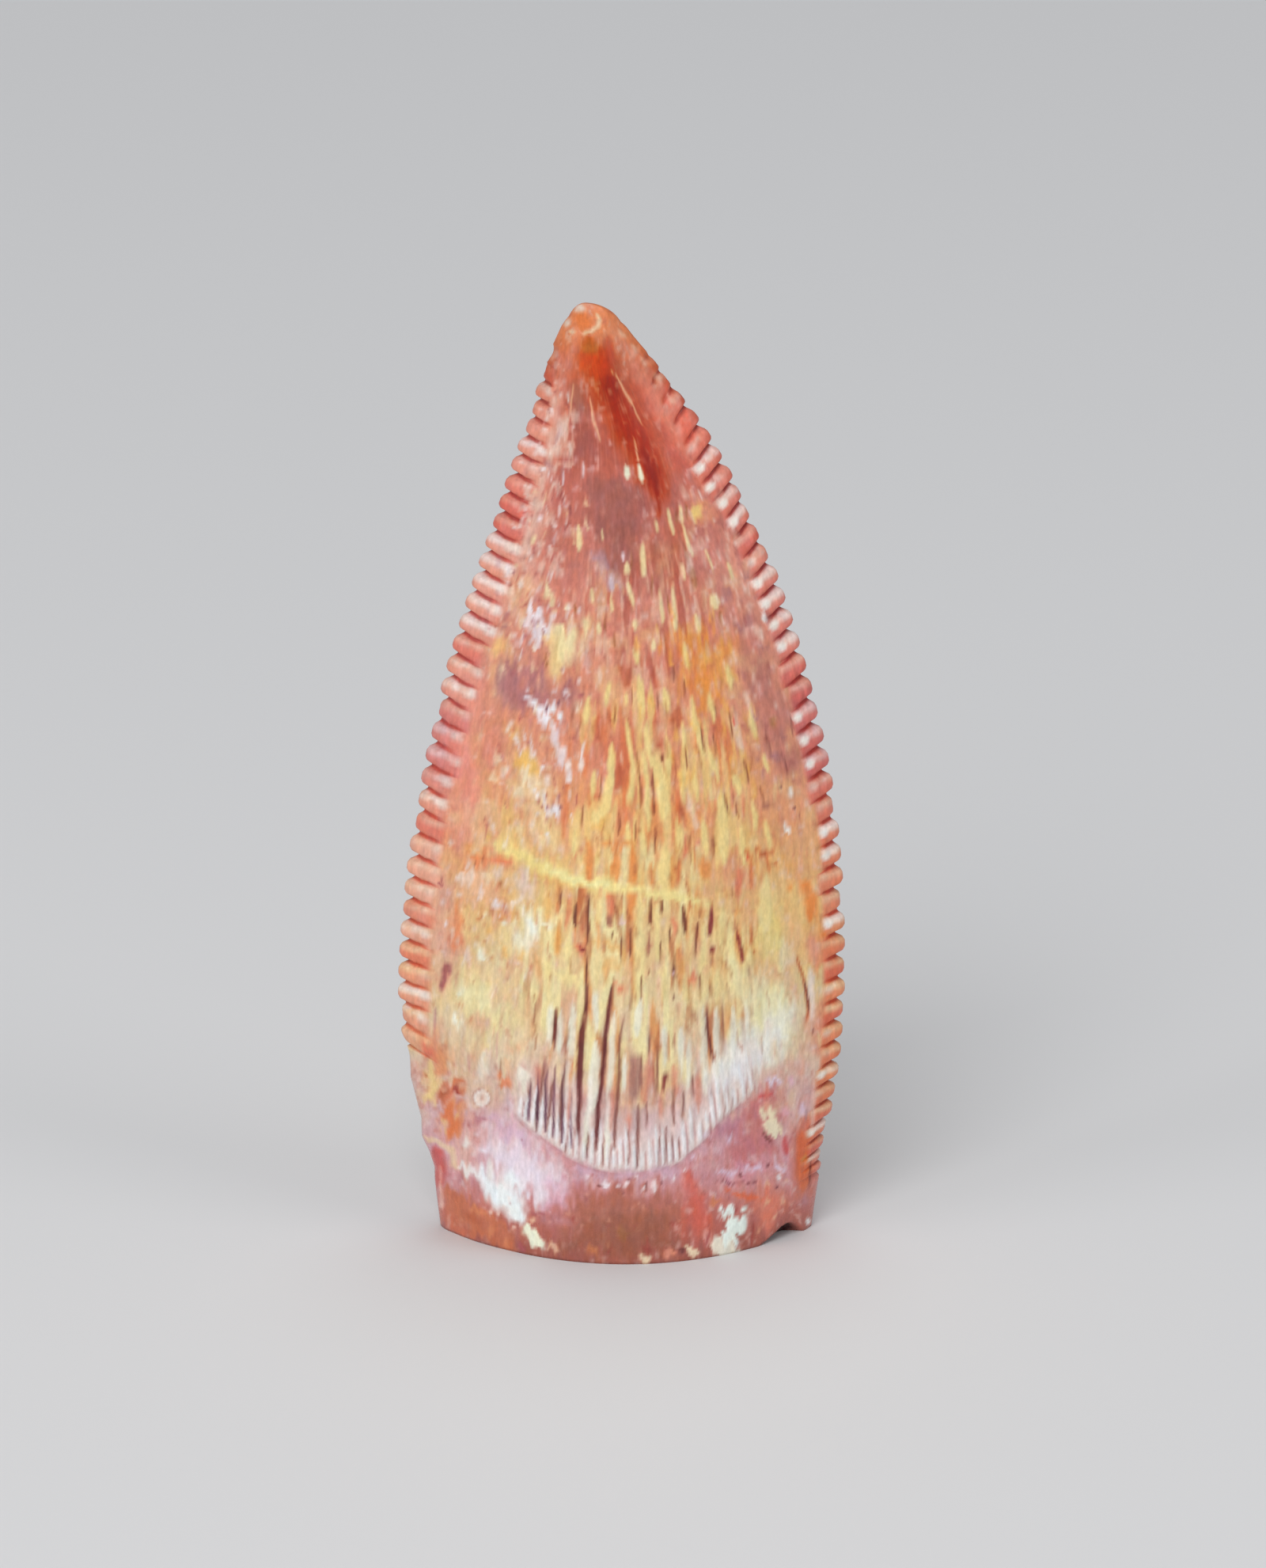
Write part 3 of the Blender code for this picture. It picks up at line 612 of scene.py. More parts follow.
def strew(tint, count, heights, across, seed, half_width, length, strength, dip, plain_face=False):
    """Random small marks between two heights and between two places across the fan of fibres."""
    dice = np.random.default_rng(seed)
    marks = []
    for _ in range(count):
        top = dice.uniform(*heights)
        place = dice.uniform(*across)
        long = length * dice.uniform(0.4, 1.4)
        wide = half_width * dice.uniform(0.6, 1.4)
        tilt = dice.uniform(-0.3, 0.3) * long
        x_top = float(fibre_middle_at(top) + place * spread_at(top))
        x_low = float(fibre_middle_at(top - long) + place * spread_at(top - long)) + tilt
        marks.append([(x_top, top, wide), (x_low, top - long, wide)])
    lay(tint, marks, 0.040, 0.8 * strength, 0.05, dip, plain_face)


# Plain face: the same colours in calmer bands, with broad streaks and shallow flutes
plain = np.where(on_fluted, 0.0, 1.0)
lay_plain((172, 78, 44), [[(-0.6, 16.7, 0.26), (-0.25, 15.6, 0.36), (0.15, 14.4, 0.3)]], 0.28, 0.85, 0.1)
lay_plain((222, 150, 128), [
    [(-1.5, 15.0, 0.28), (-2.1, 12.9, 0.45), (-2.7, 10.4, 0.4)],
    [(1.0, 15.2, 0.26), (2.0, 12.9, 0.4), (2.6, 11.0, 0.36)],
], 0.3, 0.8, 0.15)
lay_plain((166, 104, 92), [
    [(-0.5, 13.2, 0.55), (0.5, 12.4, 0.5)], [(1.9, 9.9, 0.38), (2.3, 8.7, 0.34)],
    [(-2.2, 8.9, 0.3), (-2.0, 8.2, 0.26)],
], 0.3, 0.9, 0.22)
lay_plain((228, 156, 92), [
    [(0.4, 10.8, 0.6), (-0.8, 10.2, 0.5)], [(-2.9, 7.3, 0.34)], [(2.9, 7.0, 0.34), (3.2, 5.8, 0.26)],
], 0.34, 0.85, 0.25)
lay_plain((240, 204, 132), [
    [(-1.2, 8.9, 0.5), (0.3, 8.1, 0.7), (1.2, 7.4, 0.5)], [(-1.8, 6.6, 0.6), (-0.4, 6.2, 0.6)],
], 0.4, 0.85, 0.25)
lay_plain((246, 224, 172), [
    [(-2.2, 5.0, 0.6), (-0.5, 4.6, 0.7), (1.4, 5.1, 0.7), (2.4, 4.4, 0.5)],
], 0.5, 0.85, 0.25)
lay_plain((214, 164, 150), [
    [(-3.0, 3.2, 0.3), (-1.4, 2.9, 0.34), (0.6, 3.1, 0.34), (2.6, 2.9, 0.34)],
], 0.4, 0.7, 0.25)
lay_plain((232, 204, 204), [
    [(1.0, 2.1, 0.3), (1.9, 1.7, 0.36), (2.5, 1.5, 0.24)], [(-2.4, 2.3, 0.24), (-1.9, 2.1, 0.22)],
], 0.26, 0.85, 0.18)
lay_plain((196, 124, 116), [
    [(-3.3, 1.9, 0.24), (-2.0, 1.5, 0.3), (-0.6, 1.8, 0.3), (0.6, 1.4, 0.26)],
], 0.26, 0.85, 0.15)
lay_plain((172, 92, 72), [
    [(-3.3, 0.4, 0.5), (-1.2, 0.5, 0.55), (1.0, 0.4, 0.55), (3.2, 0.4, 0.5)],
], 0.34, 0.92, 0.12)
lay_plain((146, 80, 62), [
    [(-1.6, 0.2, 0.24), (-0.3, 0.4, 0.36), (0.9, 0.1, 0.3)], [(2.3, 0.3, 0.24)],
], 0.24, 0.8, 0.15)
FLUTE_DEPTH = 0.030
red_streaks = fibres(11, 0.7, 301, 0.08, 0.55)
pale_streaks = fibres(12, 0.6, 303, 0.05, 0.50)
brown_streaks = fibres(14, 0.8, 305, 0.25, 0.62)
flutes = cloud(9.0 * fibre + 30.0, 0.25 * z, 307)
tint_where((176, 92, 72), 0.50 * plain * above_root * fade(14.0, 16.0, z) * red_streaks)
tint_where((244, 206, 146), 0.62 * plain * above_root * fade(11.0, 14.5, z) * pale_streaks)
tint_where((156, 84, 62), 0.45 * plain * between((2.4, 3.4), (10.0, 13.0), z) * brown_streaks)
relief += FLUTE_DEPTH * plain * between((2.2, 3.2), (6.0, 10.0), z) * flutes
lay_plain((150, 92, 80), [
    [(-3.3, 2.75, 0.03), (-2.2, 2.42, 0.04), (-1.0, 2.58, 0.03), (0.3, 2.3, 0.04), (1.4, 2.5, 0.03),
     (2.4, 2.36, 0.04), (3.4, 2.8, 0.03)],
], 0.09, 0.55, 0.1, 0.02)
lay_plain((246, 236, 218), [
    [(-2.3, 0.75, 0.14), (-2.0, 0.45, 0.18), (-1.9, 0.1, 0.12)], [(0.9, 0.2, 0.12), (1.3, 0.05, 0.16)],
    [(2.6, 1.1, 0.1), (2.8, 0.9, 0.1)],
], 0.07, 0.95, 0.08, -0.02)
lay_plain((240, 204, 176), [
    [(-0.5, 0.08, 0.1), (-0.2, 0.05, 0.1)], [(1.7, 0.05, 0.1)],
], 0.08, 0.85, 0.08, -0.012)
# Tint, number, heights, places across, seed, half width, length, strength and dip
for row_of_marks in [
    ((246, 220, 160), 60, (3.6, 9.8), (-0.62, 0.70), 311, 0.055, 0.50, 0.7, -0.008),
    ((142, 78, 58), 54, (3.4, 11.5), (-0.60, 0.66), 312, 0.036, 0.50, 0.6, 0.014),
    ((238, 204, 168), 44, (9.0, 14.6), (-0.62, 0.62), 313, 0.045, 0.36, 0.65, -0.008),
    # The near-white specks of the next two rows are painted glints along both edges
    ((244, 224, 216), 40, (6.0, 15.5), (-0.80, -0.50), 314, 0.055, 0.10, 0.7, -0.012),
    ((244, 224, 216), 34, (6.0, 15.0), (0.50, 0.80), 315, 0.050, 0.10, 0.6, -0.012),
    ((152, 80, 72), 60, (2.6, 15.0), (-0.80, 0.80), 316, 0.040, 0.10, 0.55, 0.012),
    ((232, 178, 152), 30, (0.1, 2.2), (-0.62, 0.62), 317, 0.050, 0.08, 0.55, -0.010),
    ((146, 72, 66), 24, (0.1, 2.2), (-0.62, 0.62), 318, 0.040, 0.08, 0.55, 0.012),
]:
    strew(*row_of_marks, plain_face=True)

# Denticles: salmon rounded bars with a painted highlight on the upper face of each, as light
# falls from above, and painted shade in the deep red slits between
DENTICLE_HIGHLIGHT = [
    (0.0, (228, 176, 150)), (2.5, (236, 190, 152)), (5.0, (248, 204, 156)), (8.0, (240, 188, 158)),
    (12.0, (232, 182, 160)), (15.5, (224, 150, 130)), (17.3, (214, 132, 104)),
]
DENTICLE_SALMON = [
    (0.0, (202, 106, 80)), (3.0, (220, 124, 84)), (6.5, (228, 138, 104)), (9.0, (206, 112, 100)),
    (13.0, (218, 132, 114)), (16.0, (206, 112, 92)), (17.3, (200, 104, 74)),
]
# Dark reds of the painted shade in the slits
SLIT_SHADE_RED = [
    (0.0, (120, 40, 30)), (4.0, (172, 70, 40)), (7.0, (170, 62, 44)), (12.0, (150, 52, 48)),
    (16.5, (140, 50, 40)),
]
BAR_BUMPS = 0.014
bar_tone = chance.uniform(-1.0, 1.0, edges_and_rows)[which, low_row]
bar_end = bar * chance.uniform(0.86, 1.12, edges_and_rows)[which, low_row] * (1.0 - 0.45 * near_tip)
in_denticles = np.where(cut, fade(0.80 * bar_end, 1.08 * bar_end, depth), 0.0)
in_denticles *= (1.0 - 0.55 * worn) * below_top
grain = cloud(9.0 * x + 7.0, 11.0 * seen, 91)
# Painted highlight: the upper face of each bar is laid pale, with near-white glints, where light from
# above falls on it
lit = between((0.42, 0.78), (0.88, 1.0), share)
tint_where(tint_at(DENTICLE_SALMON, own_h), 0.80 * in_denticles)
tint_where((194, 84, 72), 0.45 * in_denticles * smoothstep(0.2, 0.9, -bar_tone))
tint_where((230, 162, 138), 0.60 * in_denticles * near_rear * smoothstep(-0.9, 0.0, bar_tone))
highlight_share = 0.80 + 0.20 * bar_tone + 0.25 * grain
tint_where(tint_at(DENTICLE_HIGHLIGHT, own_h), in_denticles * lit * highlight_share)
glint_share = smoothstep(-0.2, 0.6, bar_tone + 0.5 * grain)
tint_where((248, 222, 212), 0.75 * in_denticles * lit * glint_share)
rear_mauve = between((8.4, 9.0), (9.8, 10.6), own_h) * near_rear
front_mauve = between((8.5, 9.0), (10.2, 11.0), own_h) * ~near_rear
tint_where((176, 92, 96), in_denticles * (0.34 * rear_mauve + 0.30 * front_mauve))
rear_pale = between((5.4, 6.0), (7.6, 8.2), own_h) * near_rear
tint_where((240, 192, 170), 0.32 * in_denticles * rear_pale)
# Painted shade: the slits between the bars are laid dark red where shade falls in them
slit_shade = np.where(cut, smoothstep(0.66, 0.97, from_crest), 0.0)
slit_shade *= fade(0.62 * bar_end, 0.98 * bar_end, depth) * (1.0 - 0.5 * worn) * below_top
tint_where(tint_at(SLIT_SHADE_RED, own_h), np.where(near_rear, 0.72, 0.90) * slit_shade)
# Painted highlight: a near-white glint on the inner upper end of each bar, strongest on the front edge
inner_glint_at = np.where(near_rear, 0.80, 0.72) * bar_end
inner_glint = 1.0 - ((depth - inner_glint_at) / (0.20 * bar + 0.02)) ** 2 - ((share - 0.62) / 0.22) ** 2
inner_glint = np.where(cut, np.clip(inner_glint, 0.0, 1.0), 0.0) * (1.0 - worn) * np.where(near_rear, 0.45, 0.95)
tint_where((250, 232, 220), 1.3 * inner_glint * smoothstep(-0.6, 0.3, bar_tone))
relief += BAR_BUMPS * in_denticles * cloud(11.0 * x + 5.0, 9.0 * seen + 5.0, 92)

# Comb of the root end: pale ridges that end in rounded teeth along an arc, dark grooves between,
# their dark partly their own colour and partly painted shade
FRINGE = [
    (-2.9, 3.1), (-2.05, 2.25), (-1.82, 2.02), (-1.62, 1.83), (-1.43, 1.74), (-1.26, 1.60),
    (-1.07, 1.42), (-0.88, 1.33), (-0.70, 1.26), (-0.42, 1.14), (0.51, 1.12), (0.72, 1.18),
    (1.02, 1.29), (1.17, 1.44), (1.40, 1.63), (1.75, 2.07), (2.01, 2.30), (2.26, 2.52), (2.9, 3.25),
]
ROOT_STEP = 0.032
fringe_h = straight(FRINGE, x)
above_fringe = smoothstep(-0.05, 0.02, seen - fringe_h)
comb_ends = between((-2.2, -1.8), (2.2, 2.7), x)
pale_comb = above_fringe * comb_ends * fade(0.25, 1.5, seen - fringe_h)
tint_where((234, 212, 202), 0.80 * pale_comb * on_fluted)
relief += ROOT_STEP * (1.0 - above_fringe) * comb_ends * smoothstep(0.2, 1.2, seen) * on_fluted
lay((238, 226, 204), [
    [(-1.36, 4.4, 0.05), (-1.38, 3.6, 0.06)], [(-1.18, 4.2, 0.05), (-1.2, 3.4, 0.06)],
    [(-0.95, 4.3, 0.07), (-0.98, 3.3, 0.07)],
    [(-0.52, 3.6, 0.09), (-0.58, 2.5, 0.11), (-0.62, 2.2, 0.06)], [(-0.55, 4.6, 0.07), (-0.5, 3.9, 0.05)],
    [(-0.18, 4.2, 0.05), (-0.22, 3.2, 0.06), (-0.3, 2.6, 0.05)], [(-0.68, 2.3, 0.05), (-0.75, 1.5, 0.05)],
    [(-0.3, 2.2, 0.06), (-0.34, 1.3, 0.05)], [(0.3, 4.4, 0.09), (0.22, 3.8, 0.05)],
    [(0.0, 3.3, 0.05), (-0.02, 2.6, 0.04)], [(0.75, 3.9, 0.06), (0.75, 3.2, 0.04)],
    [(1.05, 3.9, 0.06), (1.05, 3.1, 0.05)], [(1.2, 3.6, 0.05), (1.18, 2.7, 0.05)],
    [(1.45, 4.2, 0.06), (1.48, 3.2, 0.06), (1.5, 2.6, 0.05)],
    [(1.68, 4.3, 0.05), (1.72, 3.3, 0.05), (1.74, 2.7, 0.04)], [(2.0, 4.3, 0.07), (2.02, 3.3, 0.06)],
    [(2.25, 4.4, 0.05), (2.28, 3.7, 0.05)],
], 0.03, 0.8, 0.03, -0.012)
lay((204, 130, 108), [
    [(-1.55, 3.2, 0.06), (-1.62, 2.6, 0.05)], [(-0.93, 2.7, 0.06), (-1.0, 2.1, 0.05)],
    [(-0.2, 2.6, 0.06), (-0.26, 1.9, 0.05)], [(0.42, 3.2, 0.07), (0.36, 2.5, 0.08)],
    [(0.9, 3.2, 0.06), (0.95, 2.6, 0.05)], [(1.35, 2.9, 0.05), (1.36, 2.3, 0.04)],
    [(0.1, 2.2, 0.06), (0.12, 1.9, 0.04)], [(0.7, 2.6, 0.05), (0.68, 2.1, 0.05)],
], 0.05, 0.7, 0.04)
lay((168, 122, 112), [[(0.22, 3.4, 0.11), (0.2, 2.9, 0.13), (0.16, 2.55, 0.1)]], 0.06, 0.8, 0.05)
lay(MAROON, [[(0.77, 3.05, 0.05), (0.72, 2.74, 0.05)]], 0.04, 0.85, 0.03)
# Dark grooves of the comb: partly their own colour, partly painted shade in the grooves
lay((126, 74, 64), [
    [(-1.72, 2.9, 0.015), (-1.78, 2.49, 0.02), (-1.82, 2.09, 0.018)],
    [(-1.46, 3.35, 0.015), (-1.53, 2.62, 0.03), (-1.61, 2.35, 0.042), (-1.62, 1.87, 0.02)],
    [(-1.31, 2.85, 0.02), (-1.37, 2.35, 0.034), (-1.43, 1.8, 0.02)],
    [(-1.07, 3.25, 0.015), (-1.14, 2.69, 0.034), (-1.15, 2.35, 0.04), (-1.26, 1.68, 0.02)],
    [(-1.21, 2.13, 0.018), (-1.14, 1.81, 0.026), (-1.07, 1.47, 0.02)],
    [(-0.67, 1.89, 0.02), (-0.7, 1.4, 0.018)], [(-0.38, 1.75, 0.018), (-0.41, 1.18, 0.018)],
    [(0.01, 4.08, 0.012), (-0.06, 3.87, 0.02), (-0.09, 3.45, 0.03), (-0.1, 2.9, 0.034),
     (-0.13, 2.35, 0.034), (-0.18, 1.81, 0.03), (-0.19, 1.48, 0.018)],
    [(0.12, 4.65, 0.014), (0.12, 4.19, 0.014)], [(-0.25, 1.5, 0.012), (-0.26, 1.14, 0.012)],
    [(0.07, 1.86, 0.022), (0.07, 1.24, 0.018)],
    [(0.26, 2.4, 0.02), (0.25, 1.81, 0.03), (0.23, 1.14, 0.018)],
    [(0.31, 3.32, 0.022), (0.29, 2.76, 0.028)], [(0.48, 3.91, 0.016), (0.45, 3.4, 0.022)],
    [(0.63, 3.62, 0.018), (0.6, 3.18, 0.028), (0.61, 2.62, 0.02)],
    [(0.41, 2.47, 0.016), (0.42, 1.9, 0.02)],
    [(0.91, 2.76, 0.018), (0.91, 2.35, 0.022), (0.92, 1.98, 0.018)],
    [(0.64, 1.78, 0.016), (0.63, 1.2, 0.016)], [(0.77, 1.95, 0.018), (0.76, 1.28, 0.016)],
    [(1.09, 2.66, 0.018), (1.09, 2.0, 0.018)], [(1.01, 1.76, 0.016), (1.01, 1.36, 0.014)],
    [(1.26, 3.01, 0.018), (1.27, 2.52, 0.022)], [(1.27, 1.98, 0.012), (1.27, 1.62, 0.012)],
    [(1.8, 4.39, 0.014), (1.81, 3.91, 0.02), (1.84, 3.35, 0.018)],
    [(1.88, 4.76, 0.014), (1.96, 4.42, 0.014)], [(2.35, 4.74, 0.014), (2.36, 4.11, 0.016)],
    [(0.89, 1.85, 0.014), (0.89, 1.34, 0.014)], [(0.47, 1.56, 0.012), (0.47, 1.36, 0.012)],
    [(1.61, 2.72, 0.012), (1.61, 2.45, 0.012)], [(1.87, 2.8, 0.014), (1.87, 2.3, 0.014)],
    [(2.01, 2.72, 0.012), (2.01, 2.42, 0.012)], [(2.15, 3.08, 0.014), (2.15, 2.74, 0.014)],
    [(2.29, 3.36, 0.016), (2.29, 2.74, 0.014)], [(3.49, 3.87, 0.014), (3.49, 3.73, 0.014)],
    [(0.92, 5.1, 0.016), (0.92, 4.79, 0.018)], [(0.92, 4.48, 0.018), (0.92, 4.42, 0.018)],
    [(0.92, 3.72, 0.016), (0.92, 3.5, 0.016)],
], 0.025, 0.8, 0.015, 0.035)
lay((110, 48, 44), [
    [(-1.26, 4.27, 0.026), (-1.27, 3.9, 0.042), (-1.3, 3.52, 0.026)],
    [(-0.69, 5.15, 0.012), (-0.69, 4.41, 0.03), (-0.74, 4.01, 0.05), (-0.8, 3.56, 0.056),
     (-0.83, 2.9, 0.06), (-0.82, 2.49, 0.036), (-0.85, 2.09, 0.034), (-0.88, 1.45, 0.022)],
    [(-0.23, 4.68, 0.018), (-0.29, 4.19, 0.04), (-0.34, 3.73, 0.044), (-0.38, 3.18, 0.04),
     (-0.42, 2.76, 0.032), (-0.48, 2.35, 0.034), (-0.51, 1.81, 0.044), (-0.54, 1.52, 0.02)],
    [(1.52, 4.44, 0.014), (1.53, 3.88, 0.03), (1.61, 3.45, 0.03), (1.66, 3.21, 0.016)],
], 0.03, 0.92, 0.018, 0.05)
lay((172, 84, 50), [
    [(3.17, 5.26, 0.018), (3.33, 4.8, 0.03), (3.39, 4.5, 0.036), (3.4, 4.19, 0.03), (3.36, 3.99, 0.016)],
], 0.03, 0.85, 0.02, 0.02)
lay((104, 44, 34), [[(3.33, 4.85, 0.016), (3.39, 4.5, 0.024), (3.4, 4.2, 0.018)]], 0.02, 0.8, 0.02)

# Rounded ends of the ridges, with a thin line between each two and a shadow line below
TOOTH_PITCH = 0.135
HALF_PITCH = 0.068
COMB_SPAN = (-1.95, 2.35)
tooth_x = COMB_SPAN[0]
ends_of_teeth = []
while tooth_x < COMB_SPAN[1]:
    pitch = TOOTH_PITCH + 0.02 * math.sin(7.0 * tooth_x)
    foot = float(straight(FRINGE, tooth_x))
    lean = 0.06 * tooth_x
    reach_up = 0.62 + 0.24 * math.sin(11.0 * tooth_x + 1.0)
    top_x = tooth_x - lean * reach_up
    ends_of_teeth.append([(tooth_x, foot + 0.07, 0.036), (top_x, foot + reach_up, 0.026)])
    tooth_x += pitch
lay((246, 234, 230), ends_of_teeth, 0.022, 0.85, 0.012, -0.022)
between_teeth = [
    [(foot[0] + HALF_PITCH, foot[1] - 0.04, 0.010), (top[0] + HALF_PITCH, top[1], 0.008)]
    for foot, top in ends_of_teeth
]
lay((168, 112, 108), between_teeth, 0.020, 0.70, 0.010, 0.015)
lay((160, 108, 110), [[(at, h - 0.07, 0.018) for at, h in FRINGE[1:-1]]], 0.045, 0.22, 0.03, 0.004)
# Darkest grooves at the left of the comb, partly their own colour and partly painted shade
lay((96, 52, 64), [
    [(-1.73, 2.75, 0.016), (-1.77, 2.08, 0.026)], [(-1.58, 3.0, 0.018), (-1.61, 1.96, 0.028)],
    [(-1.43, 3.2, 0.018), (-1.46, 1.86, 0.028)], [(-1.28, 3.1, 0.016), (-1.31, 1.76, 0.026)],
    [(-1.12, 3.0, 0.016), (-1.15, 1.66, 0.024)], [(-0.97, 2.6, 0.014), (-0.99, 1.56, 0.02)],
], 0.022, 0.8, 0.012, 0.03)
lay((244, 226, 214), [
    [(-0.92, 2.9, 0.05), (-0.94, 2.0, 0.05)], [(-0.62, 2.9, 0.05), (-0.66, 1.9, 0.06)],
    [(-0.28, 2.5, 0.05), (-0.32, 1.8, 0.05)], [(-1.05, 3.2, 0.04), (-1.07, 2.4, 0.04)],
], 0.04, 0.55, 0.02, -0.01)

# Tip: worn oval with its pale ring, the orange core below it, a painted highlight on its top,
# and fine pale lines that are painted reflections
lay((222, 128, 78), [[(-0.74, 17.52, 0.17)]], 0.08, 0.8, 0.03)
lay((242, 196, 160), [
    [(-0.5, 17.66, 0.03), (-0.45, 17.55, 0.035), (-0.48, 17.42, 0.04), (-0.6, 17.32, 0.04),
     (-0.76, 17.28, 0.03)],
    [(-0.9, 17.29, 0.02), (-1.0, 17.33, 0.03)],
], 0.035, 0.85, 0.008, -0.015)
lay((244, 206, 188), [
    [(-0.92, 17.72, 0.06), (-0.74, 17.75, 0.08)], [(-1.03, 17.57, 0.05), (-1.07, 17.42, 0.06)],
], 0.06, 0.6, 0.02)
# Painted highlight on the top of the tip, and a pale spot at the left of the worn oval
lay(WHITE, [[(-0.8, 17.8, 0.07)], [(-1.07, 17.48, 0.05)]], 0.06, 0.45, 0.02)
lay((206, 84, 30), [[(-0.8, 16.85, 0.14), (-0.5, 16.65, 0.2), (-0.3, 16.95, 0.12)]], 0.12, 0.8, 0.04)
lay((190, 108, 50), [[(-0.64, 17.0, 0.14)]], 0.09, 0.85, 0.03)
lay((190, 70, 30), [[(-0.32, 17.15, 0.1), (-0.34, 16.5, 0.12)]], 0.1, 0.7, 0.05)
# Painted reflections: thin pale streaks of light down the tip and the upper middle
lay((232, 176, 140), [
    [(-0.25, 16.62, 0.018), (0.05, 16.1, 0.024), (0.32, 15.54, 0.018)],
    [(-0.63, 16.07, 0.016), (-0.55, 15.6, 0.022), (-0.42, 15.18, 0.016)],
    [(-0.92, 16.3, 0.014), (-0.98, 15.8, 0.014)], [(0.18, 15.24, 0.018), (0.27, 14.85, 0.03)],
], 0.025, 0.8, 0.02)
lay((244, 232, 200), [
    [(0.27, 14.8, 0.03), (0.33, 14.46, 0.055)], [(0.05, 14.74, 0.05), (0.07, 14.52, 0.06)],
], 0.03, 0.95, 0.02, -0.01)
lay((222, 108, 84), [
    [(1.1, 15.75, 0.08), (1.2, 15.35, 0.1)], [(0.75, 16.2, 0.06), (0.85, 15.9, 0.06)],
], 0.08, 0.7, 0.06)
lay((142, 44, 30), [[(0.36, 15.1, 0.06), (0.52, 14.62, 0.1), (0.58, 14.12, 0.06)]], 0.08, 0.75, 0.04)
# Painted highlights: glints on the small worn beads along the front edge below the tip
lay((244, 204, 180), [
    [(-0.1, 17.34, 0.03), (0.02, 17.2, 0.04)], [(0.13, 17.06, 0.03), (0.21, 16.95, 0.05)],
    [(0.32, 16.82, 0.03), (0.4, 16.7, 0.05)], [(0.54, 16.52, 0.03), (0.64, 16.38, 0.05)],
    [(0.8, 16.1, 0.03), (0.9, 15.96, 0.05)],
], 0.05, 0.5, 0.02)

# Pale dashes of the upper half, and the brown ones between them
lay((238, 208, 156), [
    [(0.33, 13.22, 0.045), (0.36, 12.62, 0.06)], [(0.04, 12.86, 0.05), (0.06, 12.68, 0.05)],
    [(0.07, 12.5, 0.05), (0.17, 12.08, 0.04)], [(0.66, 12.3, 0.028), (0.7, 11.74, 0.036)],
    [(0.88, 12.45, 0.028), (0.94, 11.66, 0.045)], [(-0.84, 13.58, 0.035), (-0.82, 13.15, 0.06)],
    [(-0.47, 11.72, 0.04), (-0.46, 11.55, 0.05)], [(0.54, 11.36, 0.045), (0.55, 11.22, 0.05)],
    [(0.8, 13.92, 0.035), (0.9, 13.42, 0.035)], [(0.56, 13.7, 0.03), (0.6, 13.5, 0.03)],
    [(0.18, 11.8, 0.03), (0.2, 11.62, 0.04)], [(1.02, 13.95, 0.04), (1.06, 13.62, 0.04)],
    [(1.08, 13.58, 0.03), (1.27, 12.98, 0.04)], [(1.06, 12.82, 0.04), (1.1, 12.58, 0.04)],
    [(1.62, 12.25, 0.09), (1.68, 12.0, 0.1)], [(1.3, 11.9, 0.04), (1.38, 11.55, 0.05)],
    [(0.9, 11.78, 0.03), (0.94, 11.62, 0.04)], [(-1.05, 12.02, 0.05)],
    [(-1.3, 12.2, 0.05), (-1.34, 12.05, 0.05)], [(-1.68, 13.38, 0.05), (-1.66, 13.25, 0.04)],
    [(-0.6, 12.35, 0.03), (-0.58, 12.1, 0.03)], [(-0.25, 12.2, 0.025), (-0.22, 11.95, 0.03)],
    [(1.5, 13.1, 0.03), (1.62, 12.75, 0.03)], [(1.9, 12.9, 0.03), (2.0, 12.6, 0.03)],
    [(-0.4, 13.5, 0.02), (-0.38, 13.3, 0.02)],
], 0.03, 0.9, 0.02, -0.012)
lay((240, 196, 118), [[(1.3, 13.98, 0.09), (1.34, 13.72, 0.11)]], 0.05, 0.95, 0.05)
lay((150, 92, 56), [
    [(1.12, 13.95, 0.02), (1.15, 13.72, 0.025)], [(0.95, 13.88, 0.02), (0.96, 13.66, 0.02)],
    [(1.24, 12.78, 0.05), (1.29, 12.4, 0.05)], [(0.12, 13.05, 0.02), (0.14, 12.8, 0.02)],
    [(0.5, 12.6, 0.02), (0.52, 12.2, 0.02)], [(0.8, 12.2, 0.02), (0.82, 11.85, 0.02)],
    [(-0.92, 12.06, 0.02), (-0.9, 11.88, 0.03)], [(-0.35, 11.78, 0.02), (-0.34, 11.6, 0.03)],
    [(-0.19, 11.5, 0.02), (-0.18, 11.3, 0.03)], [(1.12, 13.2, 0.02), (1.18, 12.9, 0.025)],
    [(1.75, 11.9, 0.03), (1.8, 11.7, 0.03)], [(-1.45, 11.1, 0.02), (-1.42, 10.9, 0.03)],
], 0.025, 0.7, 0.03, 0.01)
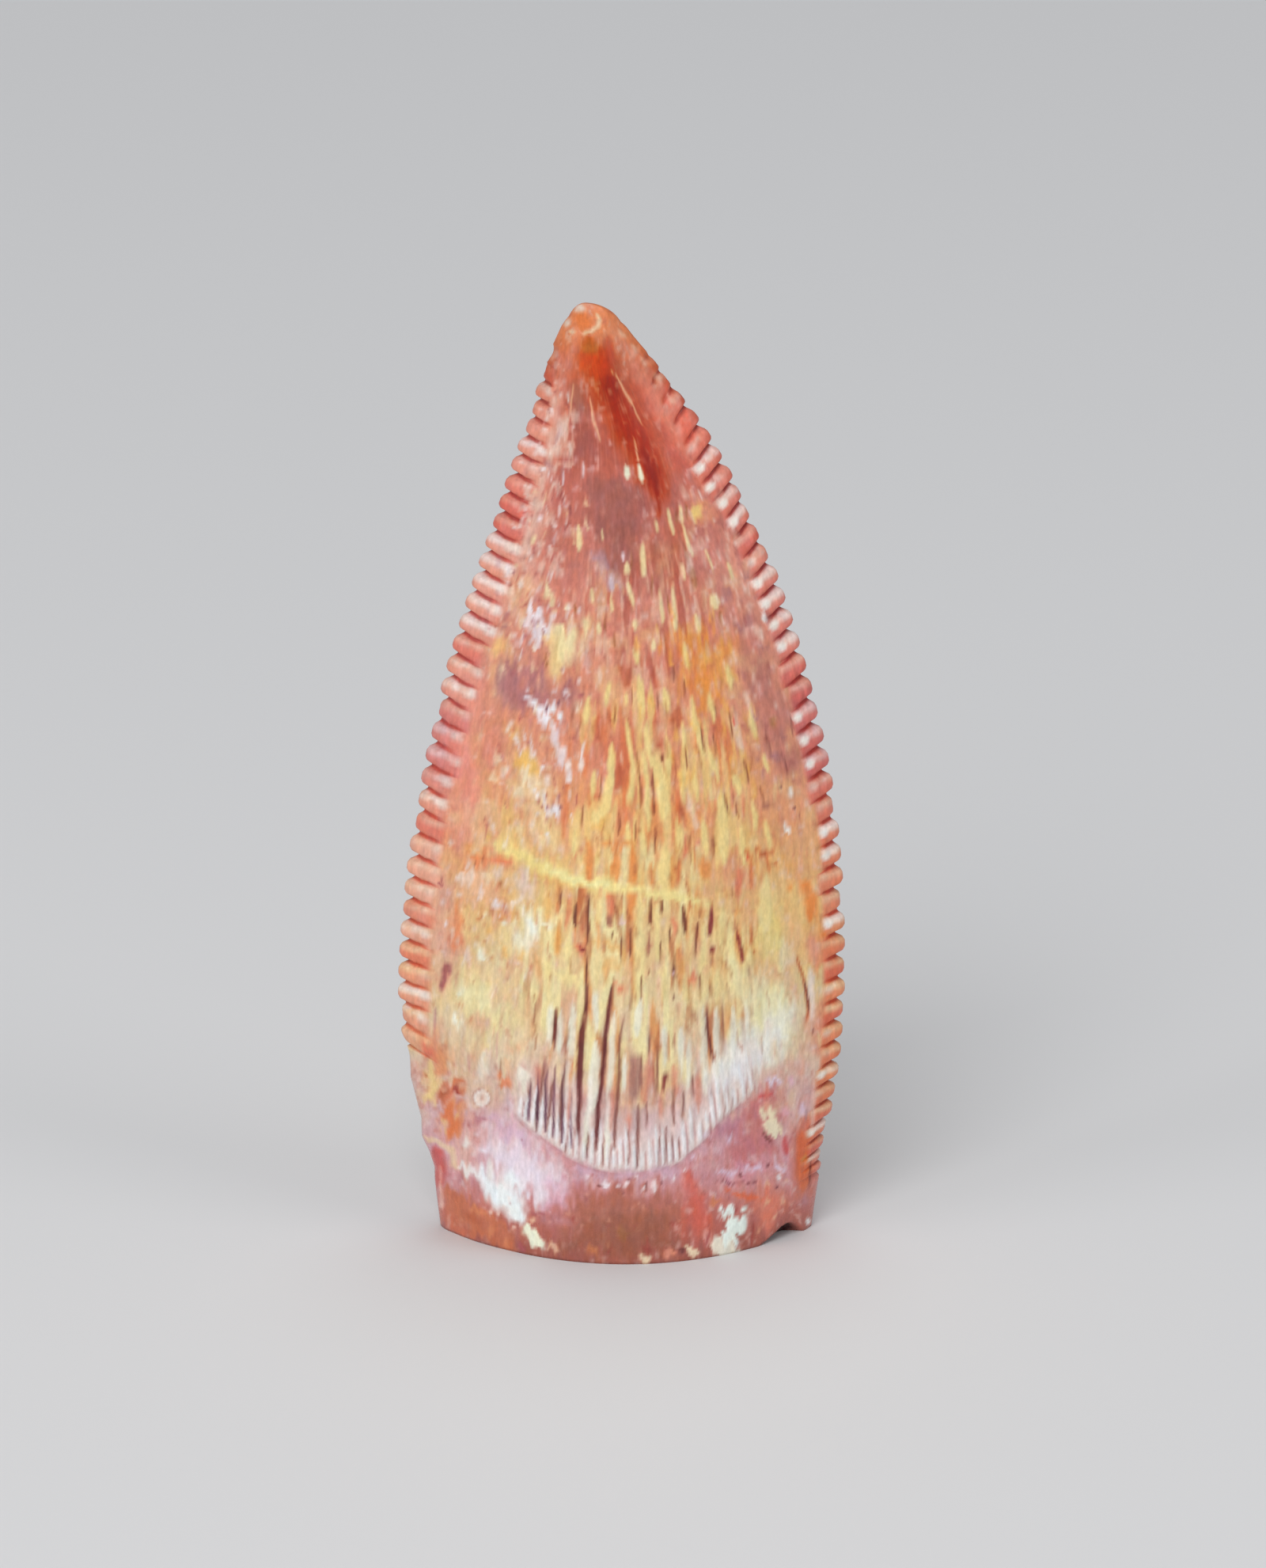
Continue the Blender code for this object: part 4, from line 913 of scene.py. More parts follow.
# Painted glints: near-white specks on the pits of the upper left flank, and a few near the middle
lay((232, 206, 204), [
    [(-1.52, 14.74, 0.05), (-1.46, 14.66, 0.04)], [(-1.55, 13.82, 0.04), (-1.56, 13.68, 0.04)],
    [(-2.15, 12.78, 0.04), (-2.12, 12.66, 0.04)], [(-0.25, 12.55, 0.05), (-0.22, 12.35, 0.05)],
    [(-0.05, 13.1, 0.03), (-0.02, 12.95, 0.03)], [(-1.1, 14.6, 0.02), (-1.12, 14.4, 0.03)],
    [(-0.75, 14.75, 0.02), (-0.76, 14.55, 0.025)],
], 0.03, 0.8, 0.03)
lay((128, 62, 60), [
    [(-1.58, 14.68, 0.03), (-1.5, 14.58, 0.02)], [(-1.66, 14.1, 0.04), (-1.62, 14.02, 0.03)],
    [(-1.15, 14.12, 0.04), (-1.08, 14.0, 0.03)], [(-2.02, 12.76, 0.03), (-1.98, 12.66, 0.03)],
    [(-1.0, 13.95, 0.02), (-0.95, 13.85, 0.02)], [(-1.9, 13.0, 0.03), (-1.7, 12.92, 0.02)],
], 0.03, 0.6, 0.04, 0.012)
lay((186, 150, 156), [[(-0.35, 12.62, 0.22), (-0.05, 12.45, 0.14)]], 0.15, 0.55, 0.12)
lay((186, 160, 172), [[(-0.6, 13.05, 0.1), (-0.25, 12.85, 0.08)]], 0.1, 0.45, 0.08)

# Speckled lilac and white patches left of the middle, with painted glints on them
lay((234, 208, 206), [
    [(-1.85, 11.85, 0.07), (-1.78, 11.6, 0.05)], [(-1.62, 11.9, 0.05)],
    [(-1.72, 11.35, 0.07), (-1.6, 11.2, 0.05)], [(-1.45, 11.65, 0.08), (-1.4, 11.45, 0.06)],
    [(-1.92, 11.35, 0.03)], [(-1.3, 11.85, 0.06)],
], 0.04, 0.8, 0.06, -0.008)
lay((242, 216, 164), [
    [(-1.3, 11.6, 0.09), (-1.05, 11.35, 0.12), (-1.2, 11.1, 0.07)],
    [(-0.75, 11.9, 0.06), (-0.7, 11.6, 0.05)], [(-1.4, 12.3, 0.08)],
], 0.06, 0.8, 0.08)
lay((150, 84, 88), [
    [(-1.7, 11.72, 0.03), (-1.64, 11.62, 0.03)], [(-1.52, 11.35, 0.03)],
    [(-1.86, 11.5, 0.02), (-1.8, 11.45, 0.02)], [(-1.55, 11.82, 0.02), (-1.5, 11.76, 0.02)],
], 0.03, 0.65, 0.04, 0.012)
lay((172, 112, 106), [
    [(-2.15, 10.85, 0.16), (-2.0, 10.45, 0.26), (-1.95, 10.05, 0.22)],
    [(-1.6, 10.6, 0.16), (-1.45, 10.2, 0.22)], [(-1.15, 10.5, 0.14), (-1.05, 10.1, 0.18)],
], 0.14, 0.9, 0.12)
# Painted glints: a cluster of near-white sparkles on the mauve patch
lay((246, 240, 238), [
    [(-1.75, 10.28, 0.05), (-1.58, 10.18, 0.07), (-1.52, 10.02, 0.06)],
    [(-1.3, 10.12, 0.05), (-1.28, 10.0, 0.05)], [(-1.18, 9.92, 0.04)],
    [(-1.45, 9.95, 0.05), (-1.38, 9.85, 0.04)],
], 0.03, 0.95, 0.04, -0.012)
lay((92, 52, 62), [
    [(-1.72, 10.08, 0.035)], [(-1.42, 10.12, 0.03), (-1.38, 10.06, 0.02)], [(-1.22, 10.2, 0.02)],
], 0.025, 0.8, 0.03, 0.015)
lay((244, 224, 216), [
    [(-1.28, 9.28, 0.05), (-1.24, 9.16, 0.04)], [(-0.73, 9.5, 0.03), (-0.8, 8.82, 0.03)],
    [(-1.02, 8.62, 0.06)], [(-1.65, 8.42, 0.06), (-1.6, 8.3, 0.05)],
    [(-1.28, 8.3, 0.05), (-1.22, 8.0, 0.06)], [(-1.0, 9.1, 0.03), (-1.04, 8.9, 0.04)],
    [(-1.5, 9.0, 0.04)], [(-1.8, 8.9, 0.03)], [(-1.1, 7.85, 0.04)], [(-1.42, 7.6, 0.05)],
    [(-0.95, 8.1, 0.03), (-0.96, 7.95, 0.04)], [(-1.6, 7.95, 0.04)],
], 0.03, 0.85, 0.05, -0.01)
lay((150, 76, 72), [
    [(-1.94, 9.85, 0.03)], [(-1.26, 9.62, 0.03)], [(-0.92, 9.52, 0.03)], [(-1.58, 8.18, 0.05)],
    [(-1.12, 9.0, 0.02)], [(-1.34, 8.75, 0.03)], [(-0.88, 8.4, 0.02), (-0.86, 8.25, 0.02)],
    [(-1.7, 8.6, 0.025)], [(-1.45, 8.45, 0.02)], [(-1.1, 8.45, 0.025)], [(-1.35, 7.85, 0.02)],
    [(-2.38, 7.84, 0.03)], [(-2.54, 8.0, 0.012), (-2.54, 7.7, 0.012)], [(-1.55, 9.45, 0.02)],
    [(-1.05, 9.75, 0.02)],
], 0.03, 0.7, 0.05, 0.018)
lay((234, 176, 96), [
    [(-2.0, 9.3, 0.1), (-1.85, 9.0, 0.14), (-1.6, 8.85, 0.1)], [(-0.45, 8.05, 0.12), (-0.42, 7.85, 0.1)],
], 0.12, 0.7, 0.12)
lay((230, 140, 122), [
    [(-3.2, 9.5, 0.14), (-2.9, 8.9, 0.16), (-2.7, 8.2, 0.18)], [(-2.6, 9.6, 0.1), (-2.45, 9.2, 0.1)],
], 0.15, 0.6, 0.1)

lay((238, 222, 224), [
    [(-1.85, 10.4, 0.08), (-1.62, 10.18, 0.14), (-1.42, 9.98, 0.12), (-1.25, 10.05, 0.06)],
    [(-1.36, 9.75, 0.07), (-1.18, 9.4, 0.09), (-1.1, 9.05, 0.07)],
    [(-1.52, 8.45, 0.09), (-1.3, 8.15, 0.11)],
    [(-1.75, 11.95, 0.1), (-1.55, 11.65, 0.12), (-1.62, 11.4, 0.07)],
    [(-1.72, 9.35, 0.05), (-1.66, 9.15, 0.06)], [(-1.0, 8.75, 0.06), (-0.95, 8.5, 0.06)],
], 0.06, 0.72, 0.11, -0.014)
lay((140, 80, 86), [
    [(-1.7, 10.02, 0.04)], [(-1.34, 10.22, 0.035)], [(-1.24, 9.6, 0.03)], [(-1.14, 9.22, 0.03)],
    [(-1.42, 8.32, 0.035)], [(-1.62, 11.74, 0.035)], [(-1.5, 11.52, 0.03)], [(-1.22, 8.3, 0.03)],
], 0.03, 0.7, 0.08, 0.016)

# Long pale columns of the middle, and the darker lines and spots between them
lay((240, 204, 136), [
    [(0.27, 10.74, 0.05), (0.35, 10.0, 0.07)], [(0.73, 10.5, 0.06), (0.77, 10.04, 0.07)],
    [(0.04, 9.82, 0.035), (0.15, 9.15, 0.05), (0.16, 8.82, 0.05), (0.09, 8.24, 0.045)],
    [(0.41, 9.76, 0.05), (0.44, 9.26, 0.06), (0.58, 8.99, 0.07), (0.7, 8.72, 0.09), (0.74, 7.92, 0.11)],
    [(0.82, 9.26, 0.04), (0.8, 8.72, 0.07)], [(0.35, 9.26, 0.04), (0.41, 8.72, 0.05), (0.44, 7.74, 0.05)],
    [(1.24, 10.24, 0.05), (1.31, 9.76, 0.07), (1.46, 9.24, 0.06)],
    [(1.76, 8.45, 0.07), (1.84, 7.77, 0.1), (1.81, 7.08, 0.09)], [(2.02, 8.8, 0.07), (2.12, 8.42, 0.08)],
    [(-0.21, 9.35, 0.05), (-0.25, 8.82, 0.055), (-0.35, 8.16, 0.08), (-0.54, 7.95, 0.12)],
    [(0.31, 7.77, 0.05), (0.38, 7.22, 0.06)], [(0.74, 7.4, 0.1), (0.74, 6.62, 0.11)],
    [(-0.24, 9.25, 0.05), (-0.26, 8.44, 0.05)], [(1.05, 8.9, 0.05), (1.1, 8.3, 0.05)],
    [(1.3, 8.8, 0.05), (1.36, 8.3, 0.05)], [(1.0, 7.7, 0.06), (1.04, 7.2, 0.06)],
    [(1.45, 7.9, 0.06), (1.5, 7.3, 0.07)], [(2.35, 8.3, 0.05), (2.42, 7.7, 0.06)],
    [(2.15, 7.7, 0.05), (2.2, 7.1, 0.06)], [(2.6, 7.9, 0.05), (2.68, 7.4, 0.05)],
    [(-0.55, 8.9, 0.04), (-0.6, 8.4, 0.05)], [(0.05, 7.9, 0.05), (0.08, 7.4, 0.05)],
    [(-0.9, 7.7, 0.05), (-0.92, 7.3, 0.06)], [(1.55, 10.3, 0.05), (1.65, 9.9, 0.05)],
    [(1.9, 10.9, 0.06), (2.0, 10.4, 0.06)], [(1.1, 11.3, 0.05), (1.16, 10.9, 0.05)],
    [(0.2, 11.2, 0.04), (0.24, 10.95, 0.04)], [(-0.3, 10.6, 0.04), (-0.32, 10.2, 0.05)],
    [(-0.65, 10.3, 0.04), (-0.7, 9.8, 0.05)], [(0.0, 10.4, 0.03), (0.02, 10.1, 0.03)],
    [(1.55, 9.3, 0.06), (1.72, 8.7, 0.06)], [(2.3, 10.0, 0.05), (2.42, 9.5, 0.05)],
    [(1.05, 9.8, 0.04), (1.1, 9.4, 0.05)], [(2.55, 9.2, 0.04), (2.65, 8.8, 0.05)],
], 0.035, 0.97, 0.035, -0.014)
lay((238, 196, 170), [
    [(1.18, 8.45, 0.05), (1.31, 7.77, 0.06)], [(2.01, 10.0, 0.06), (2.17, 9.26, 0.05)],
    [(2.23, 10.36, 0.05), (2.41, 9.87, 0.05)], [(-1.17, 7.42, 0.07), (-1.15, 7.24, 0.07)],
    [(-0.45, 10.9, 0.05), (-0.46, 10.6, 0.05)], [(-0.05, 9.2, 0.03), (-0.04, 8.9, 0.03)],
], 0.04, 0.75, 0.04, -0.01)
lay((172, 88, 62), [
    [(-0.02, 10.95, 0.1), (0.03, 10.62, 0.12)], [(0.94, 10.0, 0.12), (0.96, 9.72, 0.12)],
    [(0.67, 9.45, 0.07), (0.68, 9.28, 0.06)], [(1.04, 8.2, 0.07), (1.05, 7.9, 0.07)],
    [(-0.09, 8.9, 0.07), (-0.08, 8.5, 0.07)], [(0.55, 10.9, 0.06), (0.55, 10.5, 0.07)],
    [(-0.45, 9.9, 0.07), (-0.5, 9.4, 0.07)], [(0.98, 7.0, 0.04), (1.0, 6.6, 0.05)],
], 0.06, 0.65, 0.06, 0.01)
lay((118, 60, 42), [
    [(0.51, 8.88, 0.018), (0.55, 8.04, 0.02)], [(0.24, 9.2, 0.014), (0.32, 8.16, 0.016)],
    [(1.84, 8.4, 0.016), (1.91, 8.02, 0.02)], [(2.0, 8.42, 0.014), (2.09, 7.93, 0.018)],
    [(1.4, 9.75, 0.014), (1.47, 9.26, 0.018)], [(1.9, 10.1, 0.014), (2.01, 9.52, 0.016)],
    [(0.69, 9.18, 0.03), (0.69, 9.04, 0.03)], [(1.37, 10.33, 0.016), (1.55, 10.34, 0.014)],
    [(0.12, 10.5, 0.012), (0.14, 10.1, 0.014)], [(-0.15, 10.2, 0.012), (-0.17, 9.8, 0.014)],
    [(0.6, 10.4, 0.014), (0.62, 10.05, 0.016)], [(1.1, 10.6, 0.014), (1.12, 10.3, 0.014)],
    [(1.62, 9.6, 0.012), (1.7, 9.2, 0.014)], [(-0.08, 8.1, 0.014), (-0.1, 7.6, 0.016)],
    [(0.2, 7.9, 0.012), (0.22, 7.4, 0.014)], [(0.58, 7.8, 0.014), (0.58, 7.3, 0.016)],
    [(1.2, 7.6, 0.014), (1.22, 7.1, 0.016)], [(1.62, 7.6, 0.012), (1.64, 7.2, 0.014)],
    [(2.5, 8.6, 0.012), (2.56, 8.25, 0.014)], [(1.12, 9.3, 0.012), (1.16, 8.9, 0.014)],
    [(-0.42, 8.7, 0.012), (-0.46, 8.3, 0.014)], [(-0.75, 8.2, 0.012), (-0.78, 7.8, 0.014)],
    [(2.2, 9.1, 0.012), (2.28, 8.7, 0.014)], [(0.9, 10.9, 0.012), (0.92, 10.6, 0.014)],
], 0.022, 0.8, 0.02, 0.018)
lay((186, 56, 46), [
    [(1.4, 7.54, 0.03)], [(2.28, 7.22, 0.03)], [(2.0, 9.9, 0.02), (2.03, 9.75, 0.02)],
], 0.03, 0.75, 0.02)
lay((158, 108, 62), [
    [(2.73, 9.95, 0.05), (2.74, 9.7, 0.05)], [(1.74, 10.7, 0.04), (1.76, 10.5, 0.04)],
], 0.05, 0.6, 0.04)
lay((120, 66, 58), [
    [(2.36, 8.22, 0.012), (2.86, 8.2, 0.012)], [(2.6, 9.6, 0.012), (2.72, 9.1, 0.014)],
    [(2.9, 9.3, 0.012), (3.0, 8.9, 0.014)], [(3.05, 9.9, 0.012), (3.1, 9.6, 0.014)],
], 0.02, 0.65, 0.02, 0.012)
# Painted glints: two near-white specks on the right of the middle, with a pale spot below the lower one
lay((246, 238, 232), [
    [(3.05, 8.5, 0.04), (3.1, 8.44, 0.03)], [(2.96, 7.85, 0.05), (3.0, 7.7, 0.06)],
    [(2.55, 11.9, 0.05), (2.6, 11.78, 0.05)],
], 0.03, 0.85, 0.03)
lay((96, 48, 50), [
    [(3.15, 8.16, 0.02)], [(3.25, 7.99, 0.02)], [(2.86, 8.6, 0.02), (2.9, 8.5, 0.02)],
], 0.02, 0.7, 0.02, 0.01)

# Healed crack: a pale yellow line across the crown, broad on the left
lay((238, 184, 112), [
    [(-2.61, 7.61, 0.04), (-2.15, 7.44, 0.05), (-1.88, 7.2, 0.08)],
    [(-1.6, 7.0, 0.14), (-1.15, 6.75, 0.14), (-0.5, 6.66, 0.1)],
], 0.07, 0.85, 0.04)
lay((246, 218, 146), [
    [(-2.45, 7.52, 0.05), (-1.88, 7.24, 0.09), (-1.45, 6.96, 0.12), (-1.0, 6.76, 0.11),
     (-0.45, 6.68, 0.1), (0.0, 6.6, 0.08), (0.57, 6.5, 0.07), (0.93, 6.46, 0.07), (1.31, 6.36, 0.06),
     (1.56, 6.26, 0.04)],
], 0.05, 0.92, 0.03, -0.012)
lay((246, 208, 128), [[(-2.3, 7.6, 0.1), (-1.75, 7.15, 0.16), (-1.2, 6.85, 0.14)]], 0.16, 0.5, 0.08)
lay((250, 232, 170), [[(-1.55, 7.02, 0.04), (-1.0, 6.76, 0.05), (-0.3, 6.66, 0.04)]], 0.05, 0.7, 0.03)
lay((222, 142, 84), [
    [(-0.42, 7.46, 0.05), (0.19, 7.42, 0.05)], [(-0.15, 7.25, 0.1), (-0.15, 6.78, 0.1)],
    [(0.15, 7.3, 0.06), (0.15, 6.75, 0.07)], [(0.5, 7.0, 0.07), (0.5, 6.65, 0.06)],
    [(-0.66, 7.5, 0.07), (-0.66, 6.85, 0.08)], [(1.47, 7.15, 0.11), (1.48, 6.75, 0.11)],
], 0.05, 0.75, 0.04)
lay((206, 108, 88), [
    [(1.11, 7.5, 0.07), (1.1, 7.2, 0.06)], [(1.36, 7.45, 0.05)], [(2.1, 6.95, 0.08), (2.1, 6.4, 0.08)],
    [(-2.4, 7.2, 0.1), (-2.1, 7.1, 0.08)],
], 0.06, 0.6, 0.05)

# Below the crack: pale columns and the brown lines that grow into the grooves of the comb
lay((244, 214, 150), [
    [(0.27, 6.42, 0.09), (0.27, 5.4, 0.1), (0.26, 4.5, 0.09)], [(-0.45, 6.4, 0.06), (-0.48, 5.9, 0.06)],
    [(-1.05, 5.6, 0.07), (-1.05, 5.1, 0.06)], [(0.6, 6.3, 0.05), (0.62, 5.2, 0.06)],
    [(1.0, 6.1, 0.04), (1.0, 5.4, 0.05)], [(1.22, 6.1, 0.04), (1.2, 5.5, 0.04)],
    [(1.46, 5.9, 0.05), (1.44, 5.0, 0.06)], [(1.8, 6.2, 0.07), (1.84, 5.2, 0.08)],
    [(2.62, 6.85, 0.1), (2.62, 5.8, 0.12)], [(2.3, 5.4, 0.07), (2.2, 4.9, 0.07)],
    [(0.75, 5.1, 0.05), (0.72, 4.5, 0.06)], [(1.15, 4.9, 0.06), (1.15, 4.4, 0.07)],
    [(-0.05, 6.1, 0.03), (-0.05, 5.9, 0.03)], [(1.7, 4.9, 0.06), (1.66, 4.5, 0.06)],
    [(-1.5, 5.3, 0.1), (-1.4, 4.9, 0.1)], [(-1.25, 5.0, 0.12), (-0.85, 4.75, 0.12)],
], 0.045, 0.8, 0.04, -0.01)
lay((226, 168, 104), [
    [(-0.55, 5.6, 0.08), (-0.2, 5.5, 0.1), (0.05, 5.2, 0.08)], [(-0.4, 5.15, 0.12), (-0.05, 5.0, 0.1)],
], 0.07, 0.7, 0.05)
lay((214, 122, 92), [
    [(-0.26, 6.45, 0.1), (-0.22, 6.1, 0.08)], [(1.26, 4.95, 0.09), (1.26, 4.75, 0.09)],
    [(-0.15, 4.75, 0.07), (-0.05, 4.55, 0.07)], [(-1.0, 6.3, 0.04), (-1.05, 5.9, 0.04)],
    [(0.9, 6.0, 0.05), (0.92, 5.7, 0.04)], [(-0.9, 5.6, 0.05), (-0.78, 5.35, 0.07)],
], 0.05, 0.7, 0.04)
lay((152, 92, 78), [
    [(-0.27, 6.1, 0.07), (-0.27, 5.86, 0.06)], [(0.46, 5.79, 0.02), (0.44, 5.26, 0.03)],
    [(2.05, 5.95, 0.04), (2.06, 5.82, 0.04)],
], 0.03, 0.8, 0.03, 0.015)
lay((110, 54, 40), [
    [(-1.17, 6.57, 0.018), (-1.17, 6.19, 0.022)],
    [(-0.89, 6.3, 0.016), (-0.9, 6.05, 0.036), (-0.89, 5.86, 0.028)], [(-0.89, 5.77, 0.022)],
    [(-0.67, 6.5, 0.014), (-0.66, 6.1, 0.03), (-0.67, 5.52, 0.024)],
    [(0.13, 5.85, 0.014), (0.12, 5.3, 0.018)], [(0.09, 6.0, 0.02)],
    [(0.48, 6.43, 0.02), (0.48, 5.92, 0.03)], [(0.42, 5.87, 0.014), (0.54, 5.86, 0.014)],
    [(0.69, 6.4, 0.022), (0.69, 6.14, 0.028)], [(0.83, 5.83, 0.014), (0.83, 5.63, 0.014)],
    [(1.08, 6.26, 0.028), (1.11, 5.92, 0.04), (1.12, 5.68, 0.022)],
    [(1.39, 6.22, 0.012), (1.39, 6.02, 0.012)],
    [(1.35, 5.92, 0.03), (1.32, 5.6, 0.02), (1.3, 5.3, 0.014)], [(0.67, 5.52, 0.012), (0.67, 5.2, 0.014)],
    [(0.92, 5.35, 0.012), (0.92, 4.95, 0.02)], [(0.45, 4.95, 0.02)],
    [(1.61, 5.3, 0.014), (1.61, 5.08, 0.014)], [(-0.22, 5.78, 0.018), (-0.21, 5.66, 0.014)],
    [(2.29, 5.13, 0.012), (2.29, 4.86, 0.012)], [(-0.7, 5.45, 0.01), (-0.69, 4.95, 0.012)],
    [(-1.39, 6.56, 0.018), (-1.39, 6.48, 0.014)], [(-1.1, 5.15, 0.014)],
    [(1.78, 5.5, 0.012), (1.79, 5.1, 0.014)], [(0.3, 4.9, 0.01), (0.31, 4.5, 0.014)],
    [(1.4, 4.9, 0.012), (1.41, 4.5, 0.014)], [(-0.05, 5.6, 0.01), (-0.06, 5.2, 0.01)],
    [(2.5, 4.88, 0.01), (2.51, 4.42, 0.01)],
], 0.022, 0.88, 0.015, 0.025)
lay((126, 44, 44), [
    [(1.62, 6.17, 0.05), (1.58, 5.7, 0.05)], [(1.62, 5.45, 0.05), (1.61, 5.36, 0.04)],
    [(2.08, 5.75, 0.04), (2.15, 5.45, 0.045), (2.2, 5.2, 0.025)],
    [(-0.81, 5.48, 0.04), (-0.74, 5.38, 0.04)],
], 0.03, 0.85, 0.025, 0.025)
lay((232, 190, 196), [[(-0.06, 6.05, 0.07), (-0.03, 5.92, 0.06)], [(0.92, 4.9, 0.02)]], 0.04, 0.7, 0.03)
lay((174, 84, 50), [
    [(2.58, 7.35, 0.03), (2.69, 6.97, 0.03)], [(2.2, 7.34, 0.03), (2.77, 7.3, 0.03)],
    [(-1.04, 5.16, 0.03)], [(-1.22, 6.3, 0.03), (-1.2, 6.1, 0.03)],
    [(2.34, 5.88, 0.03), (2.34, 5.52, 0.03)], [(2.41, 5.36, 0.025)], [(2.8, 7.05, 0.05)],
    [(2.32, 7.15, 0.025), (2.33, 6.56, 0.03)],
], 0.035, 0.65, 0.03, 0.01)
lay((228, 130, 66), [
    [(3.3, 6.75, 0.1), (3.48, 6.35, 0.11), (3.45, 6.0, 0.1)], [(3.66, 5.66, 0.07)], [(3.06, 6.64, 0.05)],
], 0.07, 0.7, 0.05)
lay((222, 140, 116), [[(3.45, 5.6, 0.09), (3.55, 5.1, 0.09)]], 0.07, 0.6, 0.05)
lay((240, 214, 204), [[(3.46, 5.0, 0.05), (3.48, 4.0, 0.05)]], 0.04, 0.7, 0.03)
lay((240, 226, 188), [
    [(2.2, 4.5, 0.18), (2.7, 4.3, 0.22), (3.1, 4.2, 0.15)], [(2.5, 3.8, 0.18), (3.05, 3.8, 0.16)],
    [(2.9, 5.6, 0.1), (3.0, 5.0, 0.1)],
], 0.15, 0.55, 0.12)
lay((222, 164, 128), [[(2.63, 3.82, 0.1)], [(2.85, 4.75, 0.05)], [(2.45, 3.45, 0.05)]], 0.08, 0.5, 0.06)

# Left part of the lower crown: rough, chipped skin in peach, cream and lilac
lay((230, 138, 96), [
    [(-2.75, 7.25, 0.12), (-2.2, 7.2, 0.13)], [(-3.1, 6.3, 0.1), (-3.15, 5.6, 0.12)],
], 0.1, 0.7, 0.1)
lay((238, 200, 178), [
    [(-3.05, 6.85, 0.12), (-2.75, 6.78, 0.12)], [(-2.3, 6.88, 0.06)],
    [(-2.6, 3.45, 0.1), (-2.45, 3.4, 0.1)],
], 0.05, 0.8, 0.06, -0.01)
lay((166, 96, 66), [
    [(-2.83, 7.07, 0.016), (-2.56, 7.06, 0.016)], [(-2.58, 7.24, 0.04)], [(-2.92, 6.2, 0.03)],
    [(-2.98, 5.92, 0.03)], [(-2.6, 5.64, 0.03)], [(-2.3, 6.65, 0.02), (-2.1, 6.62, 0.02)],
    [(-2.75, 6.1, 0.02), (-2.6, 6.05, 0.02)],
], 0.03, 0.7, 0.05, 0.015)
lay((242, 222, 222), [
    [(-2.45, 6.38, 0.06), (-2.25, 6.3, 0.05)], [(-2.05, 6.4, 0.06), (-1.95, 6.28, 0.05)],
    [(-2.3, 6.12, 0.05)], [(-1.85, 6.1, 0.05)], [(-2.15, 6.22, 0.05)], [(-2.65, 6.5, 0.04)],
    [(-3.3, 5.9, 0.04)], [(-3.35, 6.3, 0.04)],
], 0.035, 0.8, 0.06, -0.012)
lay((134, 58, 66), [
    [(-1.94, 6.17, 0.03), (-1.9, 6.12, 0.02)], [(-2.41, 6.1, 0.03)], [(-2.12, 6.34, 0.02)],
    [(-2.28, 6.28, 0.02), (-2.2, 6.24, 0.02)], [(-3.4, 6.75, 0.03), (-3.35, 6.65, 0.03)],
], 0.025, 0.7, 0.04, 0.02)
lay((248, 240, 222), [
    [(-1.72, 5.98, 0.1), (-1.66, 5.66, 0.1)], [(-2.7, 5.42, 0.07), (-2.6, 5.36, 0.06)],
    [(-2.2, 5.9, 0.04)], [(-1.35, 5.85, 0.04)], [(-3.07, 3.98, 0.1)], [(-3.0, 4.6, 0.06)],
], 0.06, 0.85, 0.06, -0.01)
lay((232, 168, 92), [
    [(-1.4, 6.45, 0.06), (-1.38, 5.9, 0.07)], [(-1.22, 5.8, 0.05), (-1.2, 5.4, 0.06)],
    [(-1.9, 5.5, 0.05), (-1.9, 5.2, 0.05)], [(-2.5, 5.8, 0.06)], [(-2.25, 5.5, 0.05), (-2.2, 5.3, 0.05)],
], 0.06, 0.6, 0.06)
lay((252, 240, 218), [
    [(-1.98, 5.75, 0.14), (-1.72, 5.45, 0.2)], [(-1.42, 5.9, 0.1)],
], 0.12, 0.65, 0.1, -0.008)
lay((240, 208, 150), [
    [(-2.9, 5.0, 0.16), (-2.5, 4.8, 0.2), (-2.0, 4.7, 0.2)], [(-2.9, 4.3, 0.16), (-2.3, 4.1, 0.2)],
    [(-1.9, 4.3, 0.14), (-1.8, 3.9, 0.12)],
], 0.18, 0.55, 0.14)
lay((136, 64, 70), [
    [(-3.22, 5.12, 0.1), (-3.32, 4.85, 0.05), (-3.39, 4.62, 0.025)],
], 0.05, 0.7, 0.04, 0.02)
lay((182, 122, 122), [
    [(-3.5, 4.27, 0.025), (-3.5, 3.72, 0.025)], [(-2.34, 3.78, 0.018), (-2.34, 3.25, 0.018)],
    [(-2.85, 3.25, 0.018), (-2.86, 3.0, 0.018)],
], 0.03, 0.6, 0.03, 0.01)
lay((146, 90, 66), [
    [(-1.64, 4.54, 0.01), (-1.64, 3.44, 0.012)], [(-2.27, 3.3, 0.014), (-2.3, 2.9, 0.014)],
], 0.02, 0.7, 0.02, 0.012)
lay((232, 176, 138), [
    [(-2.1, 3.55, 0.12), (-1.85, 3.5, 0.1)], [(-2.19, 3.3, 0.1), (-2.15, 3.1, 0.1)],
], 0.08, 0.7, 0.07)
lay((222, 130, 88), [[(-2.3, 2.86, 0.12), (-2.15, 2.78, 0.12)]], 0.07, 0.75, 0.07)
lay((244, 228, 208), [
    [(-1.92, 3.15, 0.12), (-1.85, 2.85, 0.12)], [(-2.62, 3.25, 0.12), (-2.64, 2.9, 0.1)],
    [(-2.4, 3.6, 0.06)],
], 0.06, 0.8, 0.07, -0.01)

